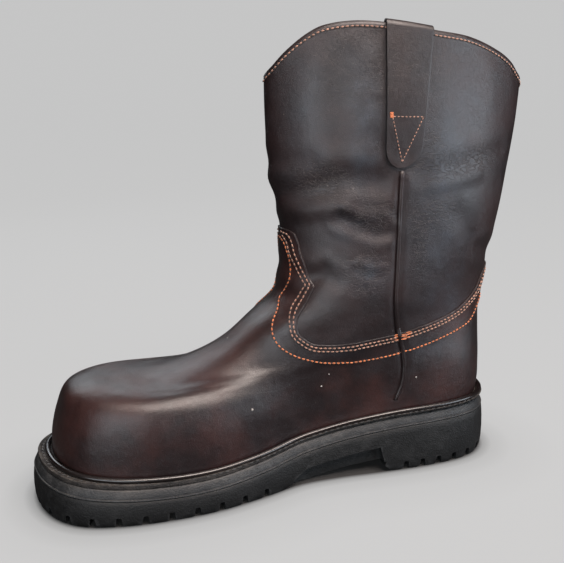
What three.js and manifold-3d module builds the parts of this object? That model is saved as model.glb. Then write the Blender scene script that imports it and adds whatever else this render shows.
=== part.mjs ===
// Pull-on work boot for the right foot: scalloped shaft, safety toe, storm welt and lugged rubber sole.
// Millimetres, +Z up. The toe points along -X and the inner side of the foot faces -Y.
import * as THREE from 'three';
import { mergeVertices } from 'three/addons/utils/BufferGeometryUtils.js';
import Module from 'manifold-3d';

const wasm = await Module();
wasm.setup();

// The last
const lastLength = 303.5; // feather line, back of the heel to the tip of the toe
const ballWidth = 94; // feather line across the ball
const heelHeight = 43.7; // top of the welt under the heel seat, above the floor
const ballHeight = 25; // top of the welt under the ball
const toeRise = 7.5; // top of the welt at the toe, above the ball
const toeBoxHeight = 45.5; // safety toe, above the welt
const throatLength = 144.5; // back of the heel to the front of the ankle
const instepRise = 45; // front of the ankle, above the toe box
const waistBack = 112; // back of the sole to where the vamp begins to draw in
const waistLength = 140; // run in which the vamp draws in above the ball
const crownRise = 8; // how far the middle loops rise there
// The shaft
const ankleWidth = 77;
const collarWidth = 58;
const frontRise = 145; // dip of the collar in front, above the front of the ankle
const backRise = 218; // dip of the collar behind, above the heel seat
const collarRise = 35; // sides of the collar above its two dips
const shaftLean = 28.5; // how far the back of the collar overhangs the heel
const shaftFlare = 9; // how far the front of the collar stands before the ankle
const leather = 2.2; // wall of the upper
const overlay = 1.2; // vamp and counter stand proud of the shaft
const vampPeak = 172; // tip of the vamp, above the floor
// Pull straps and side piping
const strapWidth = 31; // at the collar
const strapEndWidth = 23.5; // where the outer leg begins to round off
const strapThickness = 1.8;
const strapLay = 0.5; // gap under a strap's legs
const strapLength = 86.5; // outer leg, below the collar
const strapLean = 6.3; // end of the outer leg, before its top
const strapTail = 62; // inner leg, below the collar
const pipingWidth = 3.4;
const pipingHeight = 1.7;
// Insole, welt and sole
const clearance = 0.3; // between pieces that meet
const insoleRise = 2.5; // above the top of the welt
const heelLedge = 6.5; // sole edge beyond the feather line at the heel
const toeLedge = 13.5; // the same at the toe
const weltThickness = 3.1;
const weltLap = 1; // welt reaches under the upper, past its wall
const weltSeat = 0.3; // seat of the upper, sunk in the welt
const beadWidth = 3.6;
const beadHeight = 2.6; // storm bead above the top of the welt
const midsoleThickness = 6.6;
const midsoleBevel = 2.8; // top of the midsole inside its lower edge
const wallSwell = 1; // bulge of the sole's side
const toeLift = 1.3; // toe spring of the tread
const heelBevel = 2; // lift of the tread at the back of the heel
const lugDepth = 6.6;
const lugPitch = 16.2;
const heelLugPitch = 12.4;
const notchWidth = 5.2;
const notchReach = 15;
const lugBand = 19; // width of the ring of lugs around the tread
const blockWidth = 34; // lugs in the middle of the tread
const blockLength = 11;
const heelLength = 84; // back of the sole to the bottom of the breast
const heelBlock = 30; // middle lug of the heel
const waistWall = 11; // height of the sole's side at the waist
const shankDepth = 11; // shank under that side
const shankInset = 5;
const cutReach = 100; // cutting blocks reach this far past the middle of the boot

const soleColour = 0x24262a;
const leatherColour = 0x3a2625;

// Feather outline of the last: half widths as shares of the ball width, the inner side fuller at the toe.
const featherRows = [
  { station: 0, inner: 0, outer: 0 },
  { station: 0.02, inner: 0.19, outer: 0.19 },
  { station: 0.05, inner: 0.277, outer: 0.279 },
  { station: 0.1, inner: 0.331, outer: 0.336 },
  { station: 0.18, inner: 0.355, outer: 0.362 },
  { station: 0.28, inner: 0.351, outer: 0.367 },
  { station: 0.38, inner: 0.335, outer: 0.378 },
  { station: 0.48, inner: 0.351, outer: 0.41 },
  { station: 0.58, inner: 0.45, outer: 0.468 },
  { station: 0.68, inner: 0.527, outer: 0.505 },
  { station: 0.78, inner: 0.545, outer: 0.495 },
  { station: 0.87, inner: 0.518, outer: 0.441 },
  { station: 0.94, inner: 0.438, outer: 0.346 },
  { station: 0.98, inner: 0.285, outer: 0.202 },
  { station: 1, inner: 0, outer: 0 },
];

// Side profile of the welt and the tread: shares of the heel's lift, of the welt's rise at the toe, of the
// tread's lift at the toe, of its bevel at the heel, and of the step from heel ledge to toe ledge.
const soleRows = [
  { station: 0, heel: 1, toe: 0, lift: 0, bevel: 1, ledge: 0 },
  { station: 0.04, heel: 0.99, toe: 0, lift: 0, bevel: 0.2, ledge: 0 },
  { station: 0.12, heel: 0.97, toe: 0, lift: 0, bevel: 0, ledge: 0 },
  { station: 0.25, heel: 0.9, toe: 0, lift: 0, bevel: 0, ledge: 0.05 },
  { station: 0.35, heel: 0.72, toe: 0, lift: 0, bevel: 0, ledge: 0.1 },
  { station: 0.45, heel: 0.46, toe: 0, lift: 0, bevel: 0, ledge: 0.17 },
  { station: 0.55, heel: 0.2, toe: 0, lift: 0, bevel: 0, ledge: 0.27 },
  { station: 0.65, heel: 0.04, toe: 0, lift: 0, bevel: 0, ledge: 0.38 },
  { station: 0.73, heel: 0, toe: 0, lift: 0, bevel: 0, ledge: 0.48 },
  { station: 0.8, heel: 0, toe: 0.08, lift: 0.04, bevel: 0, ledge: 0.58 },
  { station: 0.88, heel: 0, toe: 0.3, lift: 0.24, bevel: 0, ledge: 0.72 },
  { station: 0.95, heel: 0, toe: 0.68, lift: 0.6, bevel: 0, ledge: 0.9 },
  { station: 1, heel: 0, toe: 1, lift: 1, bevel: 0, ledge: 1 },
];

// Loops of the upper from the feather line (level 0) to the collar (level 1). Where each ends: how far back
// (share of the shaft's lean), its height behind (share of the back rise), its reach before the throat (share
// of the forefoot), its flare, and its height in front as shares of toe box, instep and front rise.
const loopRows = [
  { level: 0, lean: 0, back: 0, reach: 1, flare: 0, toe: 0, instep: 0, front: 0 },
  { level: 0.06, lean: 0.05, back: 0.05, reach: 0.993, flare: 0, toe: 0.293, instep: 0, front: 0 },
  { level: 0.12, lean: 0.05, back: 0.1, reach: 0.969, flare: 0, toe: 0.618, instep: 0, front: 0 },
  { level: 0.18, lean: 0.05, back: 0.145, reach: 0.93, flare: 0, toe: 0.906, instep: 0, front: 0 },
  { level: 0.24, lean: 0.045, back: 0.19, reach: 0.852, flare: 0, toe: 1, instep: 0, front: 0 },
  { level: 0.3, lean: 0.04, back: 0.235, reach: 0.73, flare: 0, toe: 0.975, instep: 0, front: 0 },
  { level: 0.37, lean: 0.04, back: 0.285, reach: 0.579, flare: 0, toe: 0.955, instep: 0, front: 0 },
  { level: 0.44, lean: 0.1, back: 0.34, reach: 0.421, flare: 0, toe: 0.975, instep: 0.091, front: 0 },
  { level: 0.51, lean: 0.15, back: 0.4, reach: 0.283, flare: 0, toe: 0.99, instep: 0.291, front: 0 },
  { level: 0.58, lean: 0.24, back: 0.47, reach: 0.163, flare: 0, toe: 1, instep: 0.602, front: 0 },
  { level: 0.65, lean: 0.39, back: 0.557, reach: 0.033, flare: 0, toe: 1, instep: 1, front: 0 },
  { level: 0.72, lean: 0.56, back: 0.652, reach: 0.006, flare: 0, toe: 1, instep: 1, front: 0.15 },
  { level: 0.8, lean: 0.725, back: 0.76, reach: 0.003, flare: 0.1, toe: 1, instep: 1, front: 0.35 },
  { level: 0.85, lean: 0.825, back: 0.822, reach: 0.006, flare: 0.75, toe: 1, instep: 1, front: 0.52 },
  { level: 0.9, lean: 0.9, back: 0.882, reach: 0.011, flare: 0.9, toe: 1, instep: 1, front: 0.685 },
  { level: 1, lean: 1, back: 1, reach: 0.012, flare: 1, toe: 1, instep: 1, front: 1 },
];

// Outline of each loop seen from above: its width as a share of the ankle's, narrowing to the collar's,
// where it is widest, the squareness of its front and back ends, and the share of the foot's outline in it.
const sectionRows = [
  { level: 0, width: 1.24, collar: 0, widest: 0.66, square: 2.4, squareBack: 2.2, foot: 1 },
  { level: 0.06, width: 1.24, collar: 0, widest: 0.66, square: 2.4, squareBack: 2.2, foot: 1 },
  { level: 0.12, width: 1.2, collar: 0, widest: 0.66, square: 2.4, squareBack: 2.2, foot: 0.92 },
  { level: 0.18, width: 1.1, collar: 0, widest: 0.64, square: 2.4, squareBack: 2.2, foot: 0.76 },
  { level: 0.24, width: 1.03, collar: 0, widest: 0.6, square: 2.4, squareBack: 2.2, foot: 0.56 },
  { level: 0.3, width: 0.99, collar: 0, widest: 0.56, square: 2.4, squareBack: 2.2, foot: 0.36 },
  { level: 0.37, width: 0.97, collar: 0, widest: 0.54, square: 2.5, squareBack: 2.2, foot: 0.18 },
  { level: 0.44, width: 0.955, collar: 0, widest: 0.53, square: 2.6, squareBack: 2.2, foot: 0.08 },
  { level: 0.51, width: 0.965, collar: 0, widest: 0.52, square: 2.6, squareBack: 2.2, foot: 0 },
  { level: 0.58, width: 0.98, collar: 0, widest: 0.52, square: 2.5, squareBack: 2.2, foot: 0 },
  { level: 0.65, width: 0.99, collar: 0, widest: 0.52, square: 2.3, squareBack: 2.2, foot: 0 },
  { level: 0.72, width: 1, collar: 0, widest: 0.5, square: 2.1, squareBack: 2.1, foot: 0 },
  { level: 0.8, width: 0.99, collar: 0, widest: 0.5, square: 2, squareBack: 2, foot: 0 },
  { level: 0.85, width: 0.99, collar: 0.13, widest: 0.5, square: 1.95, squareBack: 1.95, foot: 0 },
  { level: 0.9, width: 0.99, collar: 0.33, widest: 0.5, square: 1.9, squareBack: 1.9, foot: 0 },
  { level: 1, width: 1, collar: 1, widest: 0.5, square: 1.7, squareBack: 1.8, foot: 0 },
];

// Slope of each loop from back to front: its dip under the arch, its sweep and the rise of its sides.
const slopeRows = [
  { level: 0, dip: 1, sweep: 0, rise: 0 },
  { level: 0.06, dip: 1, sweep: 0, rise: 0 },
  { level: 0.12, dip: 1, sweep: 0.1, rise: 0 },
  { level: 0.18, dip: 0.95, sweep: 0.2, rise: 0 },
  { level: 0.24, dip: 0.85, sweep: 0.4, rise: 0 },
  { level: 0.3, dip: 0.75, sweep: 0.6, rise: 0 },
  { level: 0.37, dip: 0.6, sweep: 0.7, rise: 0 },
  { level: 0.44, dip: 0.45, sweep: 0.7, rise: 0 },
  { level: 0.51, dip: 0.3, sweep: 0.6, rise: 0.03 },
  { level: 0.58, dip: 0.15, sweep: 0.4, rise: 0.055 },
  { level: 0.65, dip: 0, sweep: 0.2, rise: 0.11 },
  { level: 0.72, dip: 0, sweep: 0, rise: 0.22 },
  { level: 0.8, dip: 0, sweep: 0, rise: 0.39 },
  { level: 0.85, dip: 0, sweep: 0, rise: 0.53 },
  { level: 0.9, dip: 0, sweep: 0, rise: 0.69 },
  { level: 1, dip: 0, sweep: 0, rise: 1 },
];

// Waist of the vamp: how far each loop draws in there, and its share of the crown's rise.
const waistRows = [
  { level: 0, pinch: 0, crown: 0 },
  { level: 0.06, pinch: 0.01, crown: 0 },
  { level: 0.12, pinch: 0.04, crown: 0 },
  { level: 0.18, pinch: 0.1, crown: 0 },
  { level: 0.24, pinch: 0.16, crown: 0.1 },
  { level: 0.3, pinch: 0.195, crown: 0.45 },
  { level: 0.37, pinch: 0.215, crown: 0.85 },
  { level: 0.44, pinch: 0.2, crown: 1 },
  { level: 0.51, pinch: 0.15, crown: 0.8 },
  { level: 0.58, pinch: 0.08, crown: 0.4 },
  { level: 0.65, pinch: 0.03, crown: 0.1 },
  { level: 0.72, pinch: 0, crown: 0 },
  { level: 1, pinch: 0, crown: 0 },
];

// Scallop of the collar: height of its two sides as shares of the rise, from the back dip to the front dip.
const scallopRows = [
  { station: 0, inner: 0, outer: 0 },
  { station: 0.04, inner: 0.2, outer: 0.2 },
  { station: 0.08, inner: 0.38, outer: 0.38 },
  { station: 0.142, inner: 0.555, outer: 0.555 },
  { station: 0.286, inner: 0.8, outer: 0.8 },
  { station: 0.412, inner: 0.88, outer: 0.88 },
  { station: 0.609, inner: 0.99, outer: 0.98 },
  { station: 0.72, inner: 1, outer: 0.93 },
  { station: 0.818, inner: 0.91, outer: 0.74 },
  { station: 0.869, inner: 0.77, outer: 0.56 },
  { station: 0.934, inner: 0.48, outer: 0.27 },
  { station: 0.98, inner: 0.19, outer: 0.08 },
  { station: 1, inner: 0, outer: 0 },
];

// Upper edge of vamp and counter seen from the side: station as a share of the throat length, height as a
// share of the vamp's peak. The first run climbs from the cusp over the front, the second runs to the back.
const vampFrontRows = [
  { station: 0.902, height: 0.783 },
  { station: 0.919, height: 0.815 },
  { station: 0.948, height: 0.894 },
  { station: 0.963, height: 0.956 },
  { station: 1, height: 0.99 },
  { station: 1.2, height: 1.02 },
];
const vampBackRows = [
  { station: -0.08, height: 0.805 },
  { station: -0.03, height: 0.795 },
  { station: 0.015, height: 0.757 },
  { station: 0.045, height: 0.718 },
  { station: 0.08, height: 0.688 },
  { station: 0.125, height: 0.664 },
  { station: 0.19, height: 0.635 },
  { station: 0.33, height: 0.602 },
  { station: 0.496, height: 0.576 },
  { station: 0.651, height: 0.564 },
  { station: 0.782, height: 0.556 },
  { station: 0.855, height: 0.557 },
  { station: 0.916, height: 0.563 },
  { station: 0.958, height: 0.584 },
  { station: 0.9875, height: 0.61 },
  { station: 0.992, height: 0.647 },
  { station: 0.979, height: 0.678 },
  { station: 0.935, height: 0.734 },
  { station: 0.902, height: 0.783 },
];

// Side seam from the welt to the strap: station as a share of the throat length at each level of the upper.
const seamRows = [
  { level: 0, station: 0.52 },
  { level: 0.05, station: 0.51 },
  { level: 0.11, station: 0.48 },
  { level: 0.2, station: 0.476 },
  { level: 0.35, station: 0.501 },
  { level: 0.55, station: 0.531 },
  { level: 0.68, station: 0.527 },
  { level: 0.81, station: 0.518 },
  { level: 1, station: 0.51 },
];

const strapStation = 0.471; // middle of the straps, as a share of the throat length

const around = 56; // points in a loop of the upper and in an outline of the sole
const levels = 19; // loops of the upper

// Turns a share of a length into an angle that crowds points at both rounded ends.
const roundEnds = (share) => Math.acos(1 - 2 * THREE.MathUtils.clamp(share, 0, 1));
const stationAt = (angle) => (1 - Math.cos(angle)) / 2;

// A smooth curve through the rows of a table: one call gives every column but the first, by name.
function smoothTable(rows, spread = (value) => value) {
  const [first, ...columns] = Object.keys(rows[0]);
  const places = rows.map((row) => spread(row[first]));
  const samples = rows.flatMap((row) => columns.map((name) => row[name]));
  const curve = new THREE.CubicInterpolant(places, samples, columns.length);
  return (place) => {
    const values = curve.evaluate(THREE.MathUtils.clamp(place, places[0], places[places.length - 1]));
    return Object.fromEntries(columns.map((name, i) => [name, values[i]]));
  };
}

const feather = smoothTable(featherRows, roundEnds);
const sole = smoothTable(soleRows);
const loopEnds = smoothTable(loopRows);
const loopSection = smoothTable(sectionRows);
const loopSlope = smoothTable(slopeRows);
const loopWaist = smoothTable(waistRows);
const loop = (level) => ({
  ...loopEnds(level), ...loopSection(level), ...loopSlope(level), ...loopWaist(level),
});
const scallop = smoothTable(scallopRows, roundEnds);
const seam = smoothTable(seamRows);

const mix = THREE.MathUtils.lerp;
const fromHeel = (share) => heelLedge + share * throatLength;

// Heights at a station of the last
function weltTop(station) {
  const row = sole(station);
  return ballHeight + row.heel * (heelHeight - ballHeight) + row.toe * toeRise;
}
const midsoleTop = (station) => weltTop(station) - weltThickness - clearance;
const midsoleBottom = (station) => midsoleTop(station) - midsoleThickness;
const outsoleTop = (station) => midsoleBottom(station) - clearance;
function treadHeight(station) {
  const row = sole(station);
  return Math.max(0, row.lift * toeLift + row.bevel * heelBevel);
}
const ledgeAt = (station) => mix(heelLedge, toeLedge, sole(station).ledge);

// Half the width of an oval loop at a share of its length, with ends of any squareness.
function ovalWidth(share, row) {
  const before = share < row.widest;
  const run = before ? (row.widest - share) / row.widest : (share - row.widest) / (1 - row.widest);
  const power = before ? row.squareBack : row.square;
  return Math.max(0, 1 - run ** power) ** (1 / power);
}

// Middle plane of the upper's outer face. turn runs from the back (0) along the inner side to the toe (0.5)
// and along the outer side to the back (1).
function upperPoint(turn, level) {
  const row = loop(level);
  const inner = turn <= 0.5;
  const angle = 2 * Math.PI * (inner ? turn : 1 - turn);
  const share = stationAt(angle);
  const width = mix(row.width * ankleWidth, collarWidth, row.collar) / 2;
  const outline = feather(angle)[inner ? 'inner' : 'outer'] * ballWidth;
  const back = heelLedge - row.lean * shaftLean;
  const front = fromHeel(1) + row.reach * (lastLength - throatLength) + row.flare * shaftFlare;
  const distance = mix(back, front, share);
  const waist = Math.sin(Math.PI * THREE.MathUtils.clamp((distance - waistBack) / waistLength, 0, 1));
  const across = mix(width * ovalWidth(share, row), outline, row.foot) * (1 - row.pinch * waist);
  const backHeight = heelHeight + row.back * backRise;
  const toeHeight = ballHeight + toeRise + row.toe * toeBoxHeight;
  const frontHeight = toeHeight + row.instep * instepRise + row.front * frontRise;
  const slope = mix(share, (1 - Math.cos(Math.PI * share)) / 2, row.sweep);
  const arch = weltTop(share) - mix(heelHeight, ballHeight + toeRise, share);
  const sides = row.rise * collarRise * scallop(angle)[inner ? 'inner' : 'outer'];
  const crown = row.crown * crownRise * waist * (1 - share ** 8);
  const height = mix(backHeight, frontHeight, slope) + row.dip * arch + sides + crown + clearance;
  return new THREE.Vector3(-distance, inner ? -across : across, height);
}

// A point off the upper's face, along its normal. At both rims the normal is level, so the rims stay flat.
function upperFace(turn, level, off = 0) {
  const step = 0.002;
  const wrap = (value) => ((value % 1) + 1) % 1;
  const low = Math.max(0, level - step);
  const high = Math.min(1, level + step);
  const along = upperPoint(wrap(turn + step), level).sub(upperPoint(wrap(turn - step), level));
  const up = upperPoint(wrap(turn), high).sub(upperPoint(wrap(turn), low));
  const normal = up.cross(along);
  normal.z *= Math.min(1, level / 0.06, (1 - level) / 0.05);
  return upperPoint(wrap(turn), level).addScaledVector(normal.normalize(), off);
}

// The same face, addressed by its distance from the back of the sole.
function upperAt(side, distance, level, off = 0) {
  const row = loop(level);
  const back = heelLedge - row.lean * shaftLean;
  const front = fromHeel(1) + row.reach * (lastLength - throatLength) + row.flare * shaftFlare;
  const turn = roundEnds((distance - back) / (front - back)) / (2 * Math.PI);
  return upperFace(side === 'inner' ? turn : 1 - turn, level, off);
}

// Keeps the order of points round a strip the same on both sides of the boot.
const handOf = (side) => (side === 'inner' ? 1 : -1);

// Level of the upper at which its face reaches a height.
function levelAt(side, distance, height) {
  let low = 0;
  let high = 1;
  for (let i = 0; i < 24; i++) {
    const middle = (low + high) / 2;
    if (upperAt(side, distance, middle).z < height) low = middle;
    else high = middle;
  }
  return (low + high) / 2;
}

// Outline of the last at the feather line, moved outwards by an amount that may depend on the station.
function outlinePoint(turn, off) {
  const point = (value) => {
    const wrapped = ((value % 1) + 1) % 1;
    const inner = wrapped <= 0.5;
    const angle = 2 * Math.PI * (inner ? wrapped : 1 - wrapped);
    const half = feather(angle)[inner ? 'inner' : 'outer'] * ballWidth;
    return new THREE.Vector2(-(heelLedge + stationAt(angle) * lastLength), inner ? -half : half);
  };
  const step = 0.002;
  const along = point(turn + step).sub(point(turn - step)).normalize();
  const station = stationAt(2 * Math.PI * turn);
  return point(turn).add(new THREE.Vector2(along.y, -along.x).multiplyScalar(-off(station)));
}

// One ring of the sole: an outline at a height, both worked out at each station.
function soleRing(off, height) {
  return Array.from({ length: around }, (_, i) => {
    const turn = i / around;
    const { x, y } = outlinePoint(turn, off);
    return new THREE.Vector3(x, y, height(stationAt(2 * Math.PI * turn)));
  });
}

function upperRing(level, off) {
  return Array.from({ length: around }, (_, i) => upperFace(i / around, level, off));
}

// Skin over rings of as many points each, closed by two zigzag caps or into a tube without ends.
function skin(rings, endless = false) {
  const count = rings[0].length;
  const positions = rings.flat().flatMap((point) => point.toArray());
  const index = [];
  const last = endless ? rings.length : rings.length - 1;
  for (let j = 0; j < last; j++) {
    const low = j * count;
    const high = ((j + 1) % rings.length) * count;
    for (let i = 0; i < count; i++) {
      const next = (i + 1) % count;
      index.push(low + i, high + i, low + next, low + next, high + i, high + next);
    }
  }
  if (!endless) {
    zigzag(0, count, false, index);
    zigzag((rings.length - 1) * count, count, true, index);
  }
  const geometry = new THREE.BufferGeometry();
  geometry.setAttribute('position', new THREE.Float32BufferAttribute(positions, 3));
  geometry.setIndex(index);
  return geometry;
}

function zigzag(start, count, flip, index) {
  let left = 0;
  let right = count - 1;
  const face = (a, b, c) => index.push(...(flip ? [a, c, b] : [a, b, c]).map((i) => start + i));
  while (right - left > 1) {
    face(left, left + 1, right);
    left += 1;
    if (right - left < 2) break;
    face(left, right - 1, right);
    right -= 1;
  }
}

function solid(geometry) {
  const bare = geometry.index ? geometry.toNonIndexed() : geometry.clone();
  bare.deleteAttribute('normal');
  bare.deleteAttribute('uv');
  const merged = mergeVertices(bare, 1e-4);
  return new wasm.Manifold(new wasm.Mesh({
    numProp: 3,
    vertProperties: merged.attributes.position.array,
    triVerts: new Uint32Array(merged.index.array),
  }));
}

function geometryOf(body) {
  const mesh = body.getMesh();
  const geometry = new THREE.BufferGeometry();
  geometry.setAttribute('position', new THREE.BufferAttribute(mesh.vertProperties, 3));
  geometry.setIndex(new THREE.BufferAttribute(mesh.triVerts, 1));
  return geometry;
}

// A side view outline, drawn with the distance from the back of the sole, made a block across the boot.
function sideBlock(shape) {
  const settings = { depth: 2 * cutReach, bevelEnabled: false, curveSegments: 5 };
  const geometry = new THREE.ExtrudeGeometry(shape, settings);
  geometry.rotateX(Math.PI / 2);
  geometry.translate(0, cutReach, 0);
  return solid(geometry);
}

// Everything below the upper edge of vamp and counter, seen from the side.
function belowVamp() {
  const at = (row) => new THREE.Vector2(-fromHeel(row.station), row.height * vampPeak);
  const far = lastLength + cutReach;
  const back = vampBackRows.map(at);
  const front = vampFrontRows.map(at);
  const shape = new THREE.Shape();
  shape.moveTo(cutReach, -cutReach);
  shape.lineTo(cutReach, back[0].y);
  shape.lineTo(back[0].x, back[0].y);
  shape.splineThru(back.slice(1));
  shape.splineThru(front.slice(1));
  shape.lineTo(-far, front[front.length - 1].y);
  shape.lineTo(-far, -cutReach);
  return sideBlock(shape);
}

function upper() {
  const rise = (off) => Array.from({ length: levels }, (_, j) => upperRing(j / (levels - 1), off));
  const wall = solid(skin([...rise(0), ...rise(-leather).reverse()], true));
  const proud = solid(skin(rise(overlay)));
  const core = rise(-leather / 2);
  core.unshift(core[0].map((point) => point.clone().setZ(point.z - heelHeight)));
  return wall.add(proud.subtract(solid(skin(core))).intersect(belowVamp()));
}

function insole() {
  const inset = () => -(leather + weltLap + clearance);
  return solid(skin([
    soleRing(inset, (station) => weltTop(station) - weltThickness),
    soleRing(inset, (station) => weltTop(station) + insoleRise - 0.8),
    soleRing(() => inset() - 0.8, (station) => weltTop(station) + insoleRise),
  ]));
}

// Storm welt: a strip under the edge of the upper with a raised bead that hugs it.
function welt() {
  const edge = (station) => ledgeAt(station) - midsoleBevel - clearance;
  const bead = overlay + 4 * clearance;
  const section = [
    { out: () => -(leather + weltLap), up: -weltThickness },
    { out: edge, up: -weltThickness },
    { out: edge, up: -0.6 },
    { out: (station) => edge(station) - 0.6, up: 0 },
    { out: () => bead + beadWidth + 0.5, up: -0.5 },
    { out: () => bead + beadWidth, up: beadHeight * 0.4 },
    { out: () => bead + beadWidth * 0.72, up: beadHeight * 0.9 },
    { out: () => bead + beadWidth * 0.4, up: beadHeight },
    { out: () => bead + beadWidth * 0.1, up: beadHeight * 0.7 },
    { out: () => bead, up: -weltSeat },
    { out: () => -(leather + weltLap), up: -weltSeat },
  ];
  return solid(skin(section.map((row) => soleRing(row.out, (station) => weltTop(station) + row.up)), true));
}

function midsole() {
  return solid(skin([
    soleRing((station) => ledgeAt(station) - 0.8, midsoleBottom),
    soleRing(ledgeAt, (station) => midsoleBottom(station) + 0.8),
    soleRing((station) => ledgeAt(station) - midsoleBevel, midsoleTop),
  ]));
}

// A wedge that opens a notch between two lugs, at a turn around the tread.
function notch(turn) {
  const station = stationAt(2 * Math.PI * turn);
  const outer = outlinePoint(turn, (value) => ledgeAt(value) + wallSwell + 1);
  const inner = outlinePoint(turn, ledgeAt);
  const shape = new THREE.Shape();
  shape.moveTo(-notchWidth * 0.65, -3);
  shape.lineTo(notchWidth * 0.65, -3);
  shape.lineTo(notchWidth * 0.3, lugDepth);
  shape.lineTo(-notchWidth * 0.3, lugDepth);
  const geometry = new THREE.ExtrudeGeometry(shape, { depth: notchReach, bevelEnabled: false });
  geometry.rotateX(Math.PI / 2);
  geometry.rotateZ(outer.clone().sub(inner).angle() - Math.PI / 2);
  geometry.translate(outer.x, outer.y, treadHeight(station));
  return solid(geometry);
}

// Turns at which notches sit, evenly spaced along the edge of the tread between two turns.
function spacedTurns(from, to, pitch) {
  const steps = 400;
  const edge = Array.from({ length: steps + 1 }, (_, i) => outlinePoint(mix(from, to, i / steps), ledgeAt));
  const lengths = [0];
  for (let i = 1; i <= steps; i++) lengths.push(lengths[i - 1] + edge[i].distanceTo(edge[i - 1]));
  const count = Math.max(2, Math.round(lengths[steps] / pitch));
  return Array.from({ length: count - 1 }, (_, k) => {
    const target = (lengths[steps] * (k + 1)) / count;
    const i = lengths.findIndex((length) => length >= target);
    return mix(from, to, i / steps);
  });
}

// A block of the tread's middle, between the ring of lugs, from the floor up into the sole.
function treadBlock(distance, length, width) {
  const station = (distance - heelLedge) / lastLength;
  const bottom = treadHeight(station);
  const block = new THREE.BoxGeometry(length, width, lugDepth + 2);
  block.translate(-distance, 0, bottom + (lugDepth + 2) / 2);
  return solid(block);
}

function distanceBlock(from, to) {
  const shape = new THREE.Shape();
  shape.moveTo(-from, -50);
  shape.lineTo(-to, -50);
  shape.lineTo(-to, cutReach);
  shape.lineTo(-from, cutReach);
  return sideBlock(shape);
}

function outsole() {
  const wallRows = [
    { down: 0, out: -0.4 },
    { down: 0.12, out: 0.5 },
    { down: 0.5, out: wallSwell },
    { down: 0.9, out: wallSwell * 0.4 },
    { down: 1, out: -0.9 },
  ];
  const walls = wallRows.map((row) => soleRing(
    (station) => ledgeAt(station) + row.out,
    (station) => mix(outsoleTop(station), treadHeight(station), row.down),
  ));
  const body = solid(skin(walls.reverse()));

  // Waist: the side wall is cut high, and a narrower shank hangs below it up to the breast of the heel.
  const breastTop = heelLength + 9.5;
  const waistEnd = throatLength + 20;
  const wallHeight = (distance) => outsoleTop((distance - heelLedge) / lastLength) - waistWall;
  const waistLine = (drop) => {
    const shape = new THREE.Shape();
    shape.moveTo(-heelLength, -20);
    shape.lineTo(-heelLength, 0);
    shape.lineTo(-(heelLength + 6), 5);
    shape.lineTo(-breastTop + drop * 0.4, Math.max(8, wallHeight(breastTop) - drop));
    for (const share of [0.3, 0.55, 0.75]) {
      const distance = mix(breastTop, waistEnd, share);
      shape.lineTo(-distance, Math.max(0.5, wallHeight(distance) - drop));
    }
    shape.lineTo(-waistEnd, 0);
    shape.lineTo(-waistEnd, -20);
    return sideBlock(shape);
  };
  const shank = solid(skin([
    soleRing((station) => ledgeAt(station) - shankInset, () => -30),
    soleRing((station) => ledgeAt(station) - shankInset, () => 90),
  ]));
  const waist = waistLine(0).subtract(shank).add(waistLine(shankDepth));

  // Tread: pockets inside the ring of lugs, notches between the lugs and blocks in the middle.
  const hollow = solid(skin([
    soleRing((station) => ledgeAt(station) - lugBand, () => -30),
    soleRing((station) => ledgeAt(station) - lugBand, (station) => treadHeight(station) + lugDepth),
  ]));
  const forePocket = hollow.intersect(distanceBlock(waistEnd, lastLength));
  const heelPocket = hollow.intersect(distanceBlock(lugBand, heelLength - lugBand / 2));
  let tread = body.subtract(waist).subtract(forePocket).subtract(heelPocket);
  const toe = 0.5;
  const breastTurn = roundEnds((heelLength - 4) / lastLength) / (2 * Math.PI);
  const waistTurn = roundEnds((waistEnd - 6) / lastLength) / (2 * Math.PI);
  const turns = [
    ...spacedTurns(waistTurn, 2 * toe - waistTurn, lugPitch),
    ...spacedTurns(-breastTurn, breastTurn, heelLugPitch),
  ];
  for (const turn of turns) tread = tread.subtract(notch((turn + 1) % 1));
  const blocks = 6;
  for (let i = 0; i < blocks; i++) {
    const distance = mix(waistEnd + blockLength, lastLength - lugBand, i / (blocks - 1));
    const narrowing = i === blocks - 1 ? 0.7 : 1;
    tread = tread.add(treadBlock(distance, blockLength, blockWidth * narrowing));
  }
  return tread.add(treadBlock((lugBand + heelLength) / 2 - 3, heelBlock, heelBlock * 0.8));
}

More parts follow.
